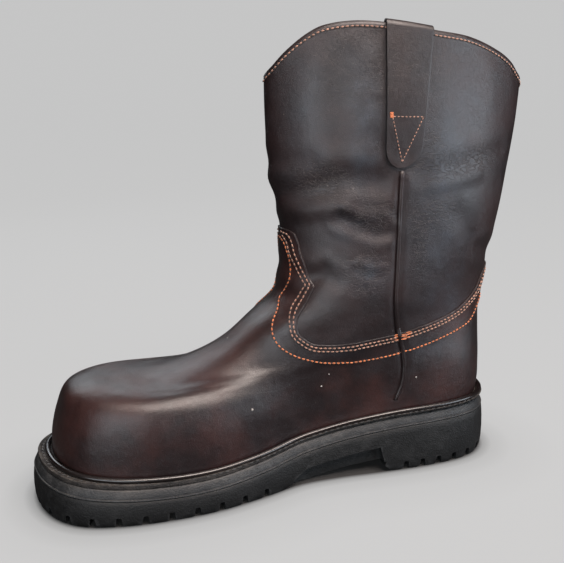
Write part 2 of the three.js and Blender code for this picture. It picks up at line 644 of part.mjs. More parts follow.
// Strap folded over the collar: an outer leg with a rounded end, a loop over the rim and an inner leg.
function pullStrap(side) {
  const middle = fromHeel(strapStation);
  const rim = upperAt(side, middle, 1).z;
  const bottom = levelAt(side, middle, rim - strapLength);
  const tail = levelAt(side, middle, rim - strapTail);
  const columns = [-1, -0.5, 0, 0.5, 1];
  const lay = strapLay + strapThickness / 2;
  const rows = [];
  const legRows = 9;
  for (let j = 0; j < legRows; j++) {
    const level = mix(bottom, 1, (j / (legRows - 1)) ** 1.3);
    const climb = upperAt(side, middle, level).z - (rim - strapLength);
    const share = climb / strapLength;
    const round = strapEndWidth / 2;
    const rest = THREE.MathUtils.clamp((round - climb) / round, 0, 1);
    const rounding = Math.max(0.3, Math.sqrt(1 - rest * rest));
    const half = (mix(strapEndWidth, strapWidth, share) / 2) * rounding;
    rows.push({ level, half, lean: strapLean * (1 - share), swing: 0 });
  }
  const straight = { half: strapWidth / 2, lean: 0 };
  for (const swing of [0.2, 0.4, 0.6, 0.8]) rows.push({ ...straight, level: 1, swing });
  for (let j = 0; j < 5; j++) rows.push({ ...straight, level: mix(1, tail, j / 4), swing: 1 });
  const place = (row, column, out) => {
    const distance = middle + row.lean + handOf(side) * column * row.half;
    const wall = upperAt(side, distance, row.level, -leather / 2);
    const outside = upperAt(side, distance, row.level, 1).sub(upperAt(side, distance, row.level, 0));
    const angle = row.swing * Math.PI;
    const point = wall.addScaledVector(outside, (leather / 2 + lay + out) * Math.cos(angle));
    point.z += (lay + out) * Math.sin(angle);
    return point;
  };
  const half = strapThickness / 2;
  return solid(skin(rows.map((row) => [
    ...columns.map((column) => place(row, column, half)),
    ...[...columns].reverse().map((column) => place(row, column, -half)),
  ])));
}

// Rounded cord that covers the side seam from the welt to the strap.
function sidePiping(side) {
  const middle = fromHeel(strapStation);
  const top = levelAt(side, middle, upperAt(side, middle, 1).z - strapLength) - 0.006;
  const rows = 18;
  const edge = 0.586 * vampPeak; // the overlay's upper edge at the seam
  const rings = Array.from({ length: rows }, (_, j) => {
    const level = mix(0.05, top, j / (rows - 1));
    const distance = fromHeel(seam(level).station);
    const height = upperAt(side, distance, level).z;
    const step = overlay * THREE.MathUtils.clamp((edge + 12 - height) / 10, 0, 1);
    const base = clearance + step;
    const spread = handOf(side) * (pipingWidth / 2);
    return [-1, -0.7, 0, 0.7, 1].map((across) => {
      const out = pipingHeight * Math.sqrt(1 - (across * 0.94) ** 2);
      return upperAt(side, distance + across * spread, level, base + out);
    }).concat([0.9, 0, -0.9].map((across) => upperAt(side, distance + across * spread, level, base)));
  });
  return solid(skin(rings));
}

function piece(name, body, color, roughness) {
  const material = new THREE.MeshStandardMaterial({ color, roughness, metalness: 0 });
  const mesh = new THREE.Mesh(geometryOf(body), material);
  mesh.name = name;
  return mesh;
}

const boot = new THREE.Group();
boot.add(piece('outsole', outsole(), soleColour, 0.8));
boot.add(piece('midsole', midsole(), 0x4a4b4d, 0.75));
boot.add(piece('welt', welt(), 0x1e1917, 0.6));
boot.add(piece('upper', upper(), leatherColour, 0.45));
boot.add(piece('insole', insole(), 0x8a6f52, 0.8));
for (const side of ['inner', 'outer']) {
  boot.add(piece(`pull_strap_${side}`, pullStrap(side), leatherColour, 0.5));
  boot.add(piece(`side_piping_${side}`, sidePiping(side), 0x2b1b1b, 0.45));
}

// The origin lies under the middle of the boot's box, on the floor.
const box = new THREE.Box3().setFromObject(boot);
const centre = box.getCenter(new THREE.Vector3());
boot.position.set(-centre.x, -centre.y, -box.min.z);

export default boot;
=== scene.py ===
import bpy
import bmesh
import math
import numpy as np
from mathutils import Matrix, Vector


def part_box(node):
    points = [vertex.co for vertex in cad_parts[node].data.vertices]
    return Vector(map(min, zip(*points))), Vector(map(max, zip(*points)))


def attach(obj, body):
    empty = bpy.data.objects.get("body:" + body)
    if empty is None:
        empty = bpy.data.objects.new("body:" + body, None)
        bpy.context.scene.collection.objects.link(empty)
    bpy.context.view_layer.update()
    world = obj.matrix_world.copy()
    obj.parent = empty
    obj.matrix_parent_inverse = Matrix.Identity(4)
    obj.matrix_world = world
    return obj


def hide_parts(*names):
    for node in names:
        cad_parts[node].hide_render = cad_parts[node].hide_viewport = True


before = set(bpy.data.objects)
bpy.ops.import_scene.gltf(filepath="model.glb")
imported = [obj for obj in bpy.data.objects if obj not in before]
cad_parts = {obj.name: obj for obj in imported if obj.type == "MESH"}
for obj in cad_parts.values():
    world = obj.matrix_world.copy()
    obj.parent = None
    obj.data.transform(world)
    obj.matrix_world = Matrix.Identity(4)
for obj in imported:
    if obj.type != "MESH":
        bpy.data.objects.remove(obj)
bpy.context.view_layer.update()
scene = bpy.context.scene
print("frame loaded")

# Sizes in millimetres. s runs from the back of the sole to the toe, z is up.
last = {
    "length": 303.5, "ballWidth": 94.0, "heelHeight": 43.7, "ballHeight": 25.0, "toeRise": 7.5,
    "toeBox": 45.5, "throat": 144.5, "instepRise": 45.0, "waistBack": 112.0, "waistLength": 140.0,
    "crown": 8.0,
}
shaft = {
    "ankle": 77.0, "collar": 58.0, "frontRise": 145.0, "backRise": 218.0, "collarRise": 35.0,
    "lean": 28.5, "flare": 9.0, "leather": 2.2, "overlay": 1.2, "vampPeak": 172.0,
}
sole = {
    "gap": 0.3, "heelLedge": 6.5, "toeLedge": 13.5, "weltThickness": 3.1, "weltLap": 1.0, "beadWidth": 3.6,
    "beadHeight": 2.6, "midsole": 6.6, "midsoleBevel": 2.8, "swell": 1.0, "toeLift": 1.3, "heelBevel": 2.0,
    "lug": 6.6, "lugPitch": 16.2, "heelPitch": 12.4, "notch": 5.2, "notchReach": 15.0, "lugBand": 19.0,
    "heelLength": 84.0, "waistWall": 11.0, "shankDepth": 11.0, "shankInset": 5.0, "insoleRise": 2.5,
}
strap = {
    "width": 31.0, "endWidth": 23.5, "thickness": 1.8, "lay": 0.5, "length": 86.5, "lean": 6.3,
    "tail": 62.0, "station": 0.471,
}
piping = {"width": 3.4, "height": 1.7, "lay": 0.25, "foot": 0.045, "edge": 0.58}


# A smooth curve through the rows of a table, worked out for whole arrays at once.
def smoothTable(names, rows, spread=None):
    places = np.array([row[0] for row in rows], float)
    if spread is not None:
        places = spread(places)
    values = np.array([row[1:] for row in rows], float)
    slopes = np.empty_like(values)
    slopes[1:-1] = (values[2:] - values[:-2]) / (places[2:] - places[:-2])[:, None]
    slopes[0] = (values[1] - values[0]) / (places[1] - places[0])
    slopes[-1] = (values[-1] - values[-2]) / (places[-1] - places[-2])
    columns = names.split()

    def at(x):
        x = np.clip(np.asarray(x, float), places[0], places[-1])
        i = np.clip(np.searchsorted(places, x, side="right") - 1, 0, len(places) - 2)
        run = (places[i + 1] - places[i])[..., None]
        p = (x - places[i])[..., None] / run
        mixed = (2 * p**3 - 3 * p**2 + 1) * values[i] + (p**3 - 2 * p**2 + p) * run * slopes[i]
        mixed = mixed + (3 * p**2 - 2 * p**3) * values[i + 1] + (p**3 - p**2) * run * slopes[i + 1]
        return {name: mixed[..., k] for k, name in enumerate(columns)}
    return at


def roundEnds(share):
    return np.arccos(1 - 2 * np.clip(share, 0, 1))


def stationAt(angle):
    return (1 - np.cos(angle)) / 2


def mix(a, b, share):
    return a + (b - a) * share


feather = smoothTable("inner outer", [
    (0, 0, 0), (0.02, 0.19, 0.19), (0.05, 0.277, 0.279), (0.1, 0.331, 0.336), (0.18, 0.355, 0.362),
    (0.28, 0.351, 0.367), (0.38, 0.335, 0.378), (0.48, 0.351, 0.41), (0.58, 0.45, 0.468),
    (0.68, 0.527, 0.505), (0.78, 0.545, 0.495), (0.87, 0.518, 0.441), (0.94, 0.438, 0.346),
    (0.98, 0.285, 0.202), (1, 0, 0),
], roundEnds)
soleSide = smoothTable("heel toe lift bevel ledge", [
    (0, 1, 0, 0, 1, 0), (0.04, 0.99, 0, 0, 0.2, 0), (0.12, 0.97, 0, 0, 0, 0),
    (0.25, 0.9, 0, 0, 0, 0.05), (0.35, 0.72, 0, 0, 0, 0.1), (0.45, 0.46, 0, 0, 0, 0.17),
    (0.55, 0.2, 0, 0, 0, 0.27), (0.65, 0.04, 0, 0, 0, 0.38), (0.73, 0, 0, 0, 0, 0.48),
    (0.8, 0, 0.08, 0.04, 0, 0.58), (0.88, 0, 0.3, 0.24, 0, 0.72), (0.95, 0, 0.68, 0.6, 0, 0.9),
    (1, 0, 1, 1, 0, 1),
])
# Loops of the upper from the feather line (level 0) to the collar (level 1)
loopEnds = smoothTable("lean back reach flare toe instep front", [
    (0, 0, 0, 1, 0, 0, 0, 0), (0.06, 0.05, 0.05, 0.993, 0, 0.293, 0, 0),
    (0.12, 0.05, 0.1, 0.969, 0, 0.618, 0, 0), (0.18, 0.05, 0.145, 0.93, 0, 0.906, 0, 0),
    (0.24, 0.045, 0.19, 0.852, 0, 1, 0, 0), (0.3, 0.04, 0.235, 0.73, 0, 0.975, 0, 0),
    (0.37, 0.04, 0.285, 0.579, 0, 0.955, 0, 0), (0.44, 0.1, 0.34, 0.421, 0, 0.975, 0.091, 0),
    (0.51, 0.15, 0.4, 0.283, 0, 0.99, 0.291, 0), (0.58, 0.24, 0.47, 0.163, 0, 1, 0.602, 0),
    (0.65, 0.39, 0.557, 0.033, 0, 1, 1, 0), (0.72, 0.56, 0.652, 0.006, 0, 1, 1, 0.15),
    (0.8, 0.725, 0.76, 0.003, 0.1, 1, 1, 0.35), (0.85, 0.825, 0.822, 0.006, 0.75, 1, 1, 0.52),
    (0.9, 0.9, 0.882, 0.011, 0.9, 1, 1, 0.685), (1, 1, 1, 0.012, 1, 1, 1, 1),
])
loopSection = smoothTable("width collar widest square squareBack foot", [
    (0, 1.24, 0, 0.66, 2.4, 2.2, 1), (0.06, 1.24, 0, 0.66, 2.4, 2.2, 1),
    (0.12, 1.2, 0, 0.66, 2.4, 2.2, 0.92), (0.18, 1.1, 0, 0.64, 2.4, 2.2, 0.76),
    (0.24, 1.03, 0, 0.6, 2.4, 2.2, 0.56), (0.3, 0.99, 0, 0.56, 2.4, 2.2, 0.36),
    (0.37, 0.97, 0, 0.54, 2.5, 2.2, 0.18), (0.44, 0.955, 0, 0.53, 2.6, 2.2, 0.08),
    (0.51, 0.965, 0, 0.52, 2.6, 2.2, 0), (0.58, 0.98, 0, 0.52, 2.5, 2.2, 0),
    (0.65, 0.99, 0, 0.52, 2.3, 2.2, 0), (0.72, 1, 0, 0.5, 2.1, 2.1, 0), (0.8, 0.99, 0, 0.5, 2, 2, 0),
    (0.85, 0.99, 0.13, 0.5, 1.95, 1.95, 0), (0.9, 0.99, 0.33, 0.5, 1.9, 1.9, 0),
    (1, 1, 1, 0.5, 1.7, 1.8, 0),
])
loopSlope = smoothTable("dip sweep rise", [
    (0, 1, 0, 0), (0.06, 1, 0, 0), (0.12, 1, 0.1, 0), (0.18, 0.95, 0.2, 0), (0.24, 0.85, 0.4, 0),
    (0.3, 0.75, 0.6, 0), (0.37, 0.6, 0.7, 0), (0.44, 0.45, 0.7, 0), (0.51, 0.3, 0.6, 0.03),
    (0.58, 0.15, 0.4, 0.055), (0.65, 0, 0.2, 0.11), (0.72, 0, 0, 0.22), (0.8, 0, 0, 0.39),
    (0.85, 0, 0, 0.53), (0.9, 0, 0, 0.69), (1, 0, 0, 1),
])
loopWaist = smoothTable("pinch crown", [
    (0, 0, 0), (0.06, 0.01, 0), (0.12, 0.04, 0), (0.18, 0.1, 0), (0.24, 0.16, 0.1), (0.3, 0.195, 0.45),
    (0.37, 0.215, 0.85), (0.44, 0.2, 1), (0.51, 0.15, 0.8), (0.58, 0.08, 0.4), (0.65, 0.03, 0.1),
    (0.72, 0, 0), (1, 0, 0),
])
scallop = smoothTable("inner outer", [
    (0, 0, 0), (0.04, 0.2, 0.2), (0.08, 0.38, 0.38), (0.142, 0.555, 0.555), (0.286, 0.8, 0.8),
    (0.412, 0.88, 0.88), (0.609, 0.99, 0.98), (0.72, 1, 0.93), (0.818, 0.91, 0.74), (0.869, 0.77, 0.56),
    (0.934, 0.48, 0.27), (0.98, 0.19, 0.08), (1, 0, 0),
], roundEnds)
seam = smoothTable("station", [
    (0, 0.52), (0.05, 0.51), (0.11, 0.48), (0.2, 0.476), (0.35, 0.501), (0.55, 0.531), (0.68, 0.527),
    (0.81, 0.518), (1, 0.51),
])

# Where the boot stands in the frame, read off the insole's box
insoleLow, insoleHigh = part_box("insole")
insoleInset = shaft["leather"] + sole["weltLap"] + sole["gap"]
backX = insoleHigh[0] * 1000 + sole["heelLedge"] + insoleInset
widest = feather(np.linspace(0, math.pi, 400))
spare = (widest["outer"].max() - widest["inner"].max()) * last["ballWidth"] / 2
midY = (insoleLow[1] + insoleHigh[1]) * 500 - spare


def weltTop(station):
    row = soleSide(station)
    heel = row["heel"] * (last["heelHeight"] - last["ballHeight"])
    return last["ballHeight"] + heel + row["toe"] * last["toeRise"]


def outsoleTop(station):
    return weltTop(station) - sole["weltThickness"] - sole["midsole"] - 2 * sole["gap"]


def treadHeight(station):
    row = soleSide(station)
    return np.maximum(0, row["lift"] * sole["toeLift"] + row["bevel"] * sole["heelBevel"])


def ledgeAt(station):
    return mix(sole["heelLedge"], sole["toeLedge"], soleSide(station)["ledge"])


def ovalWidth(share, row):
    before = share < row["widest"]
    run = np.where(before, (row["widest"] - share) / row["widest"],
                   (share - row["widest"]) / (1 - row["widest"]))
    power = np.where(before, row["squareBack"], row["square"])
    return np.maximum(0, 1 - np.abs(run) ** power) ** (1 / power)


def loop(level):
    return {**loopEnds(level), **loopSection(level), **loopSlope(level), **loopWaist(level)}


def loopSpan(row):
    back = sole["heelLedge"] - row["lean"] * shaft["lean"]
    front = sole["heelLedge"] + last["throat"] + row["reach"] * (last["length"] - last["throat"])
    return back, front + row["flare"] * shaft["flare"]


# The upper's face as points (x, y, z) in millimetres of the frame. turn runs from the back along the inner
# side to the toe (0.5) and back along the outer side.
def upperPoint(turn, level):
    turn = np.mod(turn, 1)
    row = loop(level)
    inner = turn <= 0.5
    angle = 2 * np.pi * np.where(inner, turn, 1 - turn)
    share = stationAt(angle)
    width = mix(row["width"] * shaft["ankle"], shaft["collar"], row["collar"]) / 2
    foot = feather(angle)
    outline = np.where(inner, foot["inner"], foot["outer"]) * last["ballWidth"]
    back, front = loopSpan(row)
    distance = mix(back, front, share)
    waist = np.sin(np.pi * np.clip((distance - last["waistBack"]) / last["waistLength"], 0, 1))
    across = mix(width * ovalWidth(share, row), outline, row["foot"]) * (1 - row["pinch"] * waist)
    backHeight = last["heelHeight"] + row["back"] * shaft["backRise"]
    toeHeight = last["ballHeight"] + last["toeRise"] + row["toe"] * last["toeBox"]
    frontHeight = toeHeight + row["instep"] * last["instepRise"] + row["front"] * shaft["frontRise"]
    slope = mix(share, (1 - np.cos(np.pi * share)) / 2, row["sweep"])
    arch = weltTop(share) - mix(last["heelHeight"], last["ballHeight"] + last["toeRise"], share)
    rim = scallop(angle)
    sides = row["rise"] * shaft["collarRise"] * np.where(inner, rim["inner"], rim["outer"])
    crown = row["crown"] * last["crown"] * waist * (1 - share**8)
    height = mix(backHeight, frontHeight, slope) + row["dip"] * arch + sides + crown + sole["gap"]
    return np.stack([backX - distance, midY + np.where(inner, -across, across), height], axis=-1)


def upperNormal(turn, level):
    step = 0.002
    along = upperPoint(turn + step, level) - upperPoint(turn - step, level)
    up = upperPoint(turn, np.minimum(1, level + step)) - upperPoint(turn, np.maximum(0, level - step))
    normal = np.cross(up, along)
    normal[..., 2] *= np.clip(np.minimum(level / 0.06, (1 - level) / 0.05), 0, 1)
    return normal / np.maximum(np.linalg.norm(normal, axis=-1, keepdims=True), 1e-9)


# Soft folds of the leather, each a line of (s, z) points with a half width and a depth, on one side
folds = {
    "inner": [
        ([(151, 196), (140, 199), (127, 203), (112, 205), (98, 202)], 8.0, 1.9),
        ([(150, 186), (139, 184), (126, 187), (116, 190)], 5.0, -0.7),
        ([(120, 178), (108, 172), (97, 168), (90, 169)], 4.0, 1.3),
        ([(118, 186), (104, 181), (92, 181)], 3.0, -0.8),
        ([(112, 145), (103, 141), (95, 140)], 2.4, 0.6),
        ([(109, 151), (100, 147), (92, 147)], 2.0, -0.5),
        ([(66, 207), (54, 210), (31, 214), (3, 218)], 6.0, 0.7),
        ([(60, 199), (42, 200), (26, 203)], 4.5, -0.4),
        ([(40, 178), (30, 168), (22, 155)], 7.0, 0.6),
        ([(148, 128), (140, 136), (131, 146)], 4.5, 0.9),
        ([(120, 230), (121, 250), (119, 272)], 10.0, 0.5),
        ([(30, 240), (32, 262), (36, 280)], 10.0, 0.5),
        ([(136, 225), (138, 250), (136, 275)], 9.0, -0.4),
    ],
    "outer": [
        ([(152, 192), (141, 196), (126, 199), (108, 197)], 7.0, 2.2),
        ([(148, 182), (136, 181), (120, 184)], 4.5, -0.9),
        ([(118, 172), (104, 168), (92, 168)], 4.0, 1.1),
        ([(50, 210), (36, 204), (20, 198), (6, 196)], 6.0, 1.3),
        ([(44, 176), (32, 166), (20, 158)], 6.0, 0.9),
        ([(148, 126), (140, 135), (130, 146)], 4.5, 0.9),
        ([(116, 232), (118, 252), (116, 272)], 9.0, 0.8),
        ([(34, 236), (36, 262), (38, 278)], 9.0, 0.8),
    ],
    "both": [
        ([(158, 148), (140, 142), (125, 139)], 5.0, 0.8),
        ([(12, 150), (0, 146), (-12, 145)], 6.0, 0.9),
        ([(160, 214), (150, 214), (138, 216)], 6.0, 0.8),
    ],
}


# Points of the frame as (s, z)
def sideView(points):
    return np.stack([backX - points[:, 0], points[:, 2]], axis=1)


def distanceToLine(points, line):
    line = np.array(line, float)
    best = np.full(len(points), 1e9)
    for a, b in zip(line[:-1], line[1:]):
        run = b - a
        t = np.clip(((points - a) @ run) / (run @ run), 0, 1)
        best = np.minimum(best, np.hypot(*(points - a - t[:, None] * run).T))
    return best


# turn at a distance s from the back of the sole
def turnAt(inner, distance, level):
    back, front = loopSpan(loop(level))
    turn = roundEnds((distance - back) / (front - back)) / (2 * np.pi)
    return np.where(inner, turn, 1 - turn)


# The leather sinks a little along the side seam
seamLevels = np.linspace(0.05, 0.8, 24)
seamDistance = sole["heelLedge"] + seam(seamLevels)["station"] * last["throat"]
seamHeight = upperPoint(turnAt(True, seamDistance, seamLevels), seamLevels)[:, 2]
folds["both"].append((np.column_stack([seamDistance, seamHeight]), 2.7, 0.7))
waves = {"depth": 0.35, "up": 0.052, "across": 0.05, "along": 0.043, "start": 1.3, "lowest": 60, "run": 40}


# How far the folds push the leather out (or in) at points of the upper
def foldDepth(points):
    side = sideView(points)
    depth = np.zeros(len(points))
    for name, lines in folds.items():
        if name == "both":
            there = np.ones(len(points))
        else:
            there = np.clip(0.5 + (midY - points[:, 1]) * (1 if name == "inner" else -1) / 12, 0, 1)
        for line, width, deep in lines:
            d = distanceToLine(side, line) / width
            depth -= there * deep * (np.exp(-d**2) - 0.35 * np.exp(-((d - 1.9) / 0.8) ** 2))
    swell = np.sin(side[:, 1] * waves["up"] + points[:, 1] * waves["across"])
    swell *= np.sin(side[:, 0] * waves["along"] + waves["start"])
    return depth + waves["depth"] * swell * np.clip((side[:, 1] - waves["lowest"]) / waves["run"], 0, 1)


# Where a grey-blue sheen is painted on as a highlight where the leather catches the light, and where the
# leather crinkles: (s, z, half width, half height, strength)
marks = {
    "bloom": [
        (106, 238, 9, 50, 0.9), (139, 240, 11, 36, 0.6), (50, 215, 17, 34, 0.8), (52, 165, 20, 30, 0.75),
        (105, 141, 15, 10, 1.0), (30, 252, 12, 22, 0.5), (44, 118, 16, 18, 0.6), (118, 172, 14, 10, 0.5),
        (240, 82, 30, 5, 0.5), (56, 84, 22, 6, 0.45), (120, 90, 22, 5, 0.3),
    ],
    "crinkle": [
        (131, 203, 15, 10, 1.0), (105, 180, 17, 11, 0.9), (105, 143, 14, 12, 0.9), (58, 208, 16, 9, 0.8),
        (28, 214, 16, 9, 0.8), (52, 182, 20, 12, 0.5), (66, 160, 8, 26, 0.4), (62, 226, 10, 16, 0.5),
    ],
}


def markAt(name, points):
    side = sideView(points)
    total = np.zeros(len(points))
    for s, z, wide, high, strength in marks[name]:
        total += strength * np.exp(-((side[:, 0] - s) / wide) ** 2 - ((side[:, 1] - z) / high) ** 2)
    return np.clip(total, 0, 1)


# The upper's face with its folds, which fade out at both rims, moved off by a distance
def upperFace(turn, level, off):
    points = upperPoint(turn, level)
    fade = np.clip(np.minimum(level / 0.08, (1 - level) / 0.04), 0, 1)
    move = off + foldDepth(points) * fade
    return points + upperNormal(turn, level) * move[:, None]


# turn and level at which the face reaches a height at a distance s
def sidePlace(inner, distance, height):
    distance, height = np.broadcast_arrays(np.asarray(distance, float), np.asarray(height, float))
    low, high = np.zeros(distance.shape), np.ones(distance.shape)
    for _ in range(26):
        level = (low + high) / 2
        under = upperPoint(turnAt(inner, distance, level), level)[..., 2] < height
        low, high = np.where(under, level, low), np.where(under, high, level)
    level = (low + high) / 2
    return turnAt(inner, distance, level), level


# Points and normals of the upper's face at (s, z) places of one side
def onUpper(inner, distance, height, off):
    turn, level = sidePlace(inner, np.atleast_1d(distance), height)
    return upperFace(turn, level, off), upperNormal(turn, level)


def keep(obj, body="root", replaces=()):
    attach(obj, body)
    if replaces:
        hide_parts(*replaces)
    return obj


def makeObject(name, bm, materials, smooth=40):
    mesh = bpy.data.meshes.new(name)
    bmesh.ops.scale(bm, vec=(0.001, 0.001, 0.001), verts=bm.verts)
    bm.to_mesh(mesh)
    bm.free()
    for material in materials:
        mesh.materials.append(material)
    mesh.polygons.foreach_set("use_smooth", [True] * len(mesh.polygons))
    mesh.set_sharp_from_angle(angle=math.radians(smooth))
    obj = bpy.data.objects.new(name, mesh)
    scene.collection.objects.link(obj)
    return obj


def addSolidify(obj, thickness, offset=-1.0, rim=0):
    wall = obj.modifiers.new("wall", "SOLIDIFY")
    wall.thickness = thickness / 1000
    wall.offset = offset
    wall.use_even_offset = True
    wall.material_offset_rim = rim
    return wall


# A grid laid by place(u, v), both from 0 to 1, which gives its points and the values stored at them
def sheet(columns, rows, place, merge=0.01):
    bm = bmesh.new()
    bmesh.ops.create_grid(bm, x_segments=columns, y_segments=rows, size=0.5)
    at = np.array([v.co[:2] for v in bm.verts]) + 0.5
    points, extra = place(at[:, 0], at[:, 1])
    layers = {name: bm.verts.layers.float.new(name) for name in extra}
    for i, vert in enumerate(bm.verts):
        vert.co = points[i]
        for name, layer in layers.items():
            vert[layer] = float(extra[name][i])
    bmesh.ops.remove_doubles(bm, verts=bm.verts, dist=merge)
    return bm


# A sheet wrapped into a tube: place(turn, level)
def tube(around, rows, place):
    bm = sheet(around, rows, place, 0.02)
    bmesh.ops.dissolve_degenerate(bm, dist=0.005, edges=bm.edges)
    return bm


def faceOutwards(bm, centre):
    total = sum((f.calc_center_median() - centre).dot(f.normal) * f.calc_area() for f in bm.faces)
    if total < 0:
        bmesh.ops.reverse_faces(bm, faces=bm.faces)


# Shader groups that several materials share
def startGroup(name, inputs, outputs):
    group = bpy.data.node_groups.new(name, "ShaderNodeTree")
    for label, kind, value in inputs:
        socket = group.interface.new_socket(name=label, in_out="INPUT", socket_type=kind)
        socket.default_value = value
    for label, kind in outputs:
        group.interface.new_socket(name=label, in_out="OUTPUT", socket_type=kind)
    return group, group.nodes.new("NodeGroupInput"), group.nodes.new("NodeGroupOutput")


def addNode(tree, kind, inputs=None, **settings):
    node = tree.nodes.new(kind)
    for key, value in settings.items():
        setattr(node, key, value)
    for key, value in (inputs or {}).items():
        if isinstance(value, bpy.types.NodeSocket):
            tree.links.new(value, node.inputs[key])
        else:
            node.inputs[key].default_value = value
    return node


def doMath(tree, operation, a, b=0.0, clamp=False):
    return addNode(tree, "ShaderNodeMath", {0: a, 1: b}, operation=operation, use_clamp=clamp).outputs[0]


def times(tree, a, b):
    return doMath(tree, "MULTIPLY", a, b)


def mapValue(tree, value, low, high, toLow=0.0, toHigh=1.0):
    given = {"Value": value, "From Min": low, "From Max": high, "To Min": toLow, "To Max": toHigh}
    return addNode(tree, "ShaderNodeMapRange", given).outputs["Result"]


def mixColour(tree, share, a, b, blend="MIX"):
    node = addNode(tree, "ShaderNodeMix", data_type="RGBA", blend_type=blend)
    for socket, value in ((node.inputs[0], share), (node.inputs[6], a), (node.inputs[7], b)):
        if isinstance(value, bpy.types.NodeSocket):
            tree.links.new(value, socket)
        else:
            socket.default_value = value if isinstance(value, (int, float)) else (*value, 1)
    return node.outputs[2]


# Pebbled leather: fine cells broken up by noise, with short creases between them
def makeGrain():
    group, start, end = startGroup("leatherGrain", [
        ("Place", "NodeSocketVector", (0, 0, 0)), ("Cells", "NodeSocketFloat", 900),
        ("Creases", "NodeSocketFloat", 0.5),
    ], [("Height", "NodeSocketFloat"), ("Pores", "NodeSocketFloat")])
    place = start.outputs["Place"]
    bend = addNode(group, "ShaderNodeTexNoise", {"Vector": place, "Scale": 260.0, "Detail": 3.0})
    bent = {0: 0.0016, 4: place, 5: bend.outputs["Color"]}
    moved = addNode(group, "ShaderNodeMix", bent, data_type="VECTOR")
    cells = addNode(group, "ShaderNodeTexVoronoi", {
        "Vector": moved.outputs[1], "Scale": start.outputs["Cells"]}, feature="DISTANCE_TO_EDGE")
    pores = mapValue(group, cells.outputs["Distance"], 0.0, 0.16)
    fine = addNode(group, "ShaderNodeTexNoise", {"Vector": place, "Scale": 1500.0, "Detail": 2.0})
    crease = addNode(group, "ShaderNodeTexNoise", {"Vector": moved.outputs[1], "Scale": 190.0, "Detail": 6.0,
                                                   "Roughness": 0.62, "Distortion": 0.8})
    line = doMath(group, "ABSOLUTE", doMath(group, "SUBTRACT", crease.outputs["Fac"], 0.5))
    lines = mapValue(group, line, 0.0, 0.035, 0.0, 1.0)
    lines = times(group, lines, start.outputs["Creases"])
    height = doMath(group, "ADD", times(group, pores, 0.5), lines)
    height = doMath(group, "ADD", height, times(group, fine.outputs["Fac"], 0.25))
    group.links.new(height, end.inputs["Height"])
    group.links.new(pores, end.inputs["Pores"])
    return group


# Soft uneven patches, from 0 to 1
def makeMottle():
    group, start, end = startGroup("softPatches", [
        ("Place", "NodeSocketVector", (0, 0, 0)), ("Scale", "NodeSocketFloat", 20),
        ("From", "NodeSocketFloat", 0.4), ("To", "NodeSocketFloat", 0.65),
    ], [("Mask", "NodeSocketFloat")])
    noise = addNode(group, "ShaderNodeTexNoise", {
        "Vector": start.outputs["Place"], "Scale": start.outputs["Scale"], "Detail": 5.0, "Roughness": 0.6})
    mask = addNode(group, "ShaderNodeMapRange", {
        "Value": noise.outputs["Fac"], "From Min": start.outputs["From"], "From Max": start.outputs["To"]},
        interpolation_type="SMOOTHSTEP")
    group.links.new(mask.outputs["Result"], end.inputs["Mask"])
    return group


# Dust: sparse specks everywhere and a film on faces that look up
def makeDust():
    group, start, end = startGroup("dust", [
        ("Place", "NodeSocketVector", (0, 0, 0)), ("Specks", "NodeSocketFloat", 0.5),
        ("Film", "NodeSocketFloat", 0.3),
    ], [("Mask", "NodeSocketFloat")])
    place = start.outputs["Place"]
    dots = addNode(group, "ShaderNodeTexVoronoi", {"Vector": place, "Scale": 75.0, "Randomness": 1.0})
    near = mapValue(group, dots.outputs["Distance"], 0.045, 0.02)
    chosen = addNode(group, "ShaderNodeSeparateColor", {"Color": dots.outputs["Color"]})
    rare = doMath(group, "GREATER_THAN", chosen.outputs["Red"], 0.9)
    specks = times(group, times(group, near, rare), start.outputs["Specks"])
    normal = addNode(group, "ShaderNodeNewGeometry")
    up = addNode(group, "ShaderNodeSeparateXYZ", {"Vector": normal.outputs["Normal"]})
    cloud = addNode(group, "ShaderNodeTexNoise", {
        "Vector": place, "Scale": 60.0, "Detail": 6.0, "Roughness": 0.7})
    film = times(group, mapValue(group, up.outputs["Z"], 0.1, 0.95), mapValue(
        group, cloud.outputs["Fac"], 0.45, 0.75))
    film = times(group, film, start.outputs["Film"])
    group.links.new(doMath(group, "ADD", specks, film, True), end.inputs["Mask"])
    return group


# Rubbed edges: where the surface bends outwards sharply, broken up by noise
def makeEdgeWear():
    group, start, end = startGroup("edgeWear", [
        ("Place", "NodeSocketVector", (0, 0, 0)), ("From", "NodeSocketFloat", 0.52),
        ("To", "NodeSocketFloat", 0.6),
    ], [("Mask", "NodeSocketFloat")])
    shape = addNode(group, "ShaderNodeNewGeometry")
    noise = addNode(group, "ShaderNodeTexNoise", {
        "Vector": start.outputs["Place"], "Scale": 180.0, "Detail": 4.0})
    bent = mapValue(group, shape.outputs["Pointiness"], start.outputs["From"], start.outputs["To"])
    worn = times(group, bent, mapValue(group, noise.outputs["Fac"], 0.35, 0.6))
    group.links.new(worn, end.inputs["Mask"])
    return group


groups = {"grain": makeGrain(), "patches": makeMottle(), "dust": makeDust(), "wear": makeEdgeWear()}


def useGroup(tree, name, **inputs):
    node = tree.nodes.new("ShaderNodeGroup")
    node.node_tree = groups[name]
    for key, value in inputs.items():
        if isinstance(value, bpy.types.NodeSocket):
            tree.links.new(value, node.inputs[key])
        else:
            node.inputs[key].default_value = value
    return node


